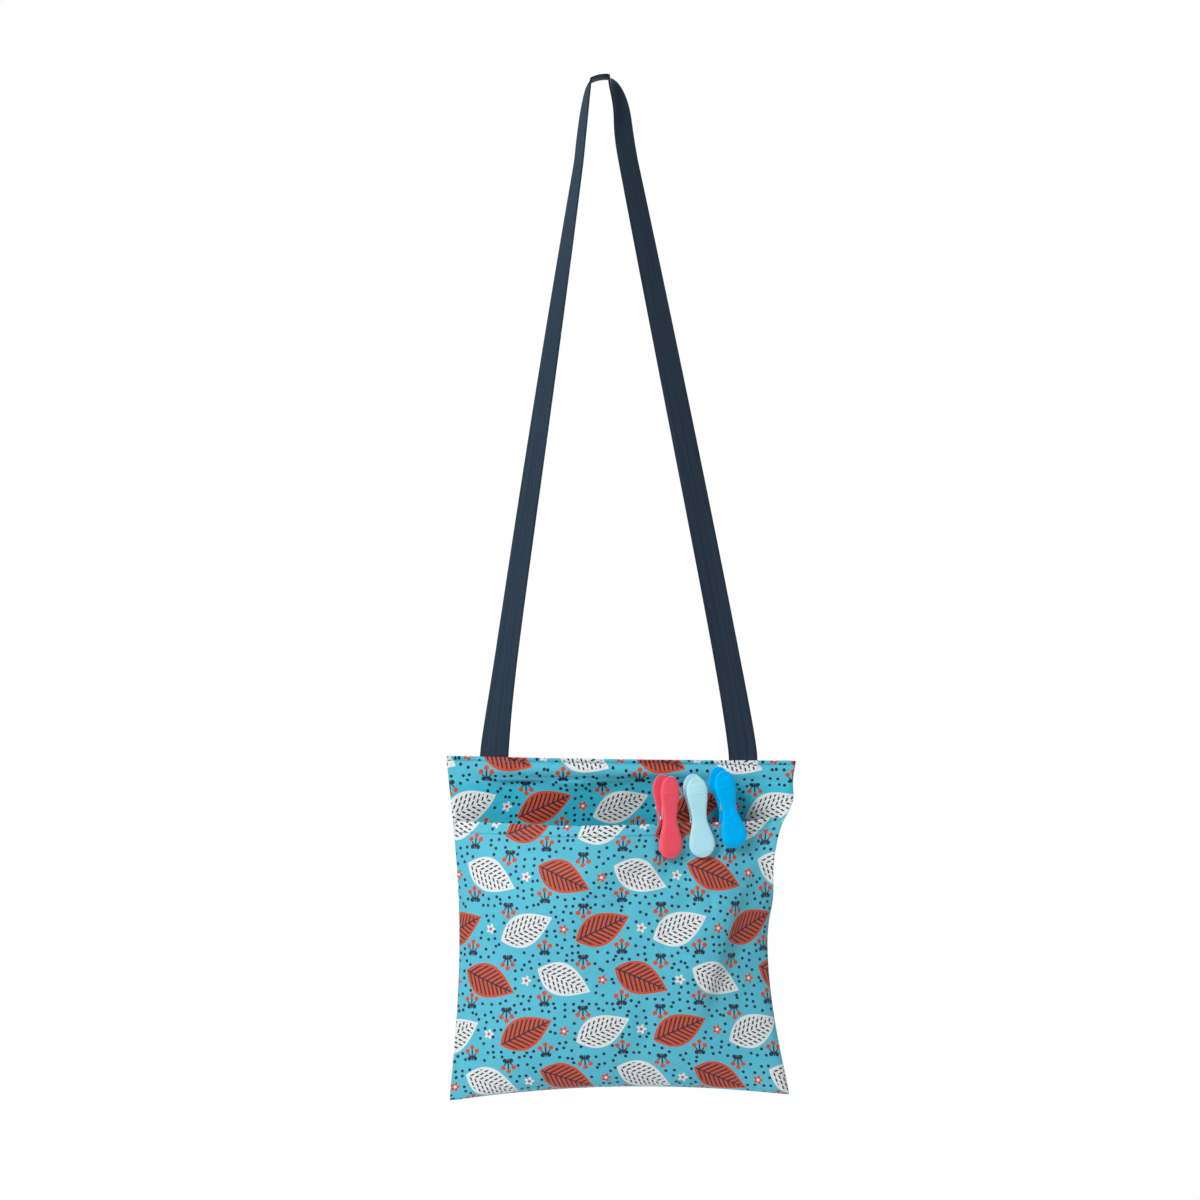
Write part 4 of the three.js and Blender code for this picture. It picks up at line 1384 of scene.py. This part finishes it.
def overlocks(stitch):
    side_share = OVERLOCK_WIDTH / BAG_HALF_WIDTH
    edge = 1 - OVERLOCK_INSET / BAG_HALF_WIDTH
    corner = OVERLOCK_CORNER / BAG_HEIGHT
    upper = (MOUTH_DROP + HEM_HEIGHT + OVERLOCK_WIDTH) / BAG_HEIGHT
    t = np.linspace(upper, 1 - corner, SIDE_SEAM_POINTS)
    for side, name in ((-1, "left"), (1, "right")):
        outer = on_lining(np.full_like(t, side * edge), t)
        inner = on_lining(np.full_like(t, side * (edge - side_share)), t)
        overlock(f"{name}_seam_binding", f"{name}_seam_overlock", stitch, outer, inner)
    u = np.linspace(-1, 1, BOTTOM_SEAM_POINTS) * (1 - OVERLOCK_CORNER / BAG_HALF_WIDTH)
    low = 1 - 2 * OVERLOCK_INSET / BAG_HEIGHT
    outer = on_lining(u, np.full_like(u, low))
    inner = on_lining(u, np.full_like(u, low - OVERLOCK_WIDTH / BAG_HEIGHT))
    overlock("bottom_seam_binding", "bottom_seam_overlock", stitch, outer, inner)


STITCH_PATTERN = one_stitch()
sewing(STITCH_PATTERN)
overlocks(STITCH_PATTERN)
drop_piece(STITCH_PATTERN)


# Studio: camera as in the photograph, a pale floor, a white surround and soft lamps
CAMERA_DISTANCE = 2.5
CAMERA_HEIGHT = -0.4474
VIEW_WIDTH = 1.034
SENSOR = 36
FLOOR_HEIGHT = -1.5
FLOOR_SIZE = 3.6
FLOOR_TONE = (0.86, 0.86, 0.86, 1)
AMBIENT = 0.32
LAMPS = {
    "key_lamp": ((-1.25, -2.0, 0.7), 1.0, 60),
    "fill_lamp": ((1.6, -2.2, -0.2), 1.5, 2.5),
    "back_lamp": ((0.8, 2.4, 0.2), 1.5, 45),
}


def studio_camera():
    lens = bpy.data.cameras.new("studio_camera")
    lens.sensor_width = SENSOR
    lens.lens = SENSOR * CAMERA_DISTANCE / VIEW_WIDTH
    camera = link_piece("studio_camera", lens)
    camera.location = (0, -CAMERA_DISTANCE, CAMERA_HEIGHT)
    camera.rotation_euler = (math.pi / 2, 0, 0)
    bpy.context.scene.camera = camera


def soft_lamp(name, place, size, watts):
    bag_middle = Vector((BAG_X, 0, BAG_TOP - BAG_HEIGHT / 2))
    lamp = bpy.data.lights.new(name, "AREA")
    lamp.shape = "DISK"
    lamp.size = size
    lamp.energy = watts
    stand = link_piece(name, lamp)
    stand.location = place
    stand.rotation_euler = (bag_middle - Vector(place)).to_track_quat("-Z", "Y").to_euler()


def studio_floor():
    clear_selection()
    bpy.ops.mesh.primitive_plane_add(size=FLOOR_SIZE, location=(0, 0, 0))
    floor = bpy.context.object
    floor.name = "studio_floor"
    floor.data.transform(Matrix.Translation((0, 0, FLOOR_HEIGHT)))
    finish, _, shader = start_finish("pale_floor", 0.9)
    shader.inputs["Base Color"].default_value = FLOOR_TONE
    floor.data.materials.append(finish)


def studio_world():
    world = bpy.data.worlds.new("studio_white")
    bpy.context.scene.world = world
    world.use_nodes = True
    tree = world.node_tree
    ambient = tree.nodes["Background"]
    ambient.inputs["Color"].default_value = (1, 1, 1, 1)
    rays = tree.nodes.new("ShaderNodeLightPath")
    seen = calc(tree, "MAXIMUM", rays.outputs["Is Camera Ray"], rays.outputs["Is Transmission Ray"])
    seen = calc(tree, "MAXIMUM", seen, rays.outputs["Is Glossy Ray"])
    strength = calc(tree, "MULTIPLY_ADD", seen, 1 - AMBIENT, AMBIENT)
    tree.links.new(strength, ambient.inputs["Strength"])


bpy.context.scene.view_settings.view_transform = "Standard"
studio_camera()
studio_floor()
studio_world()
for lamp_name, settings in LAMPS.items():
    soft_lamp(lamp_name, *settings)
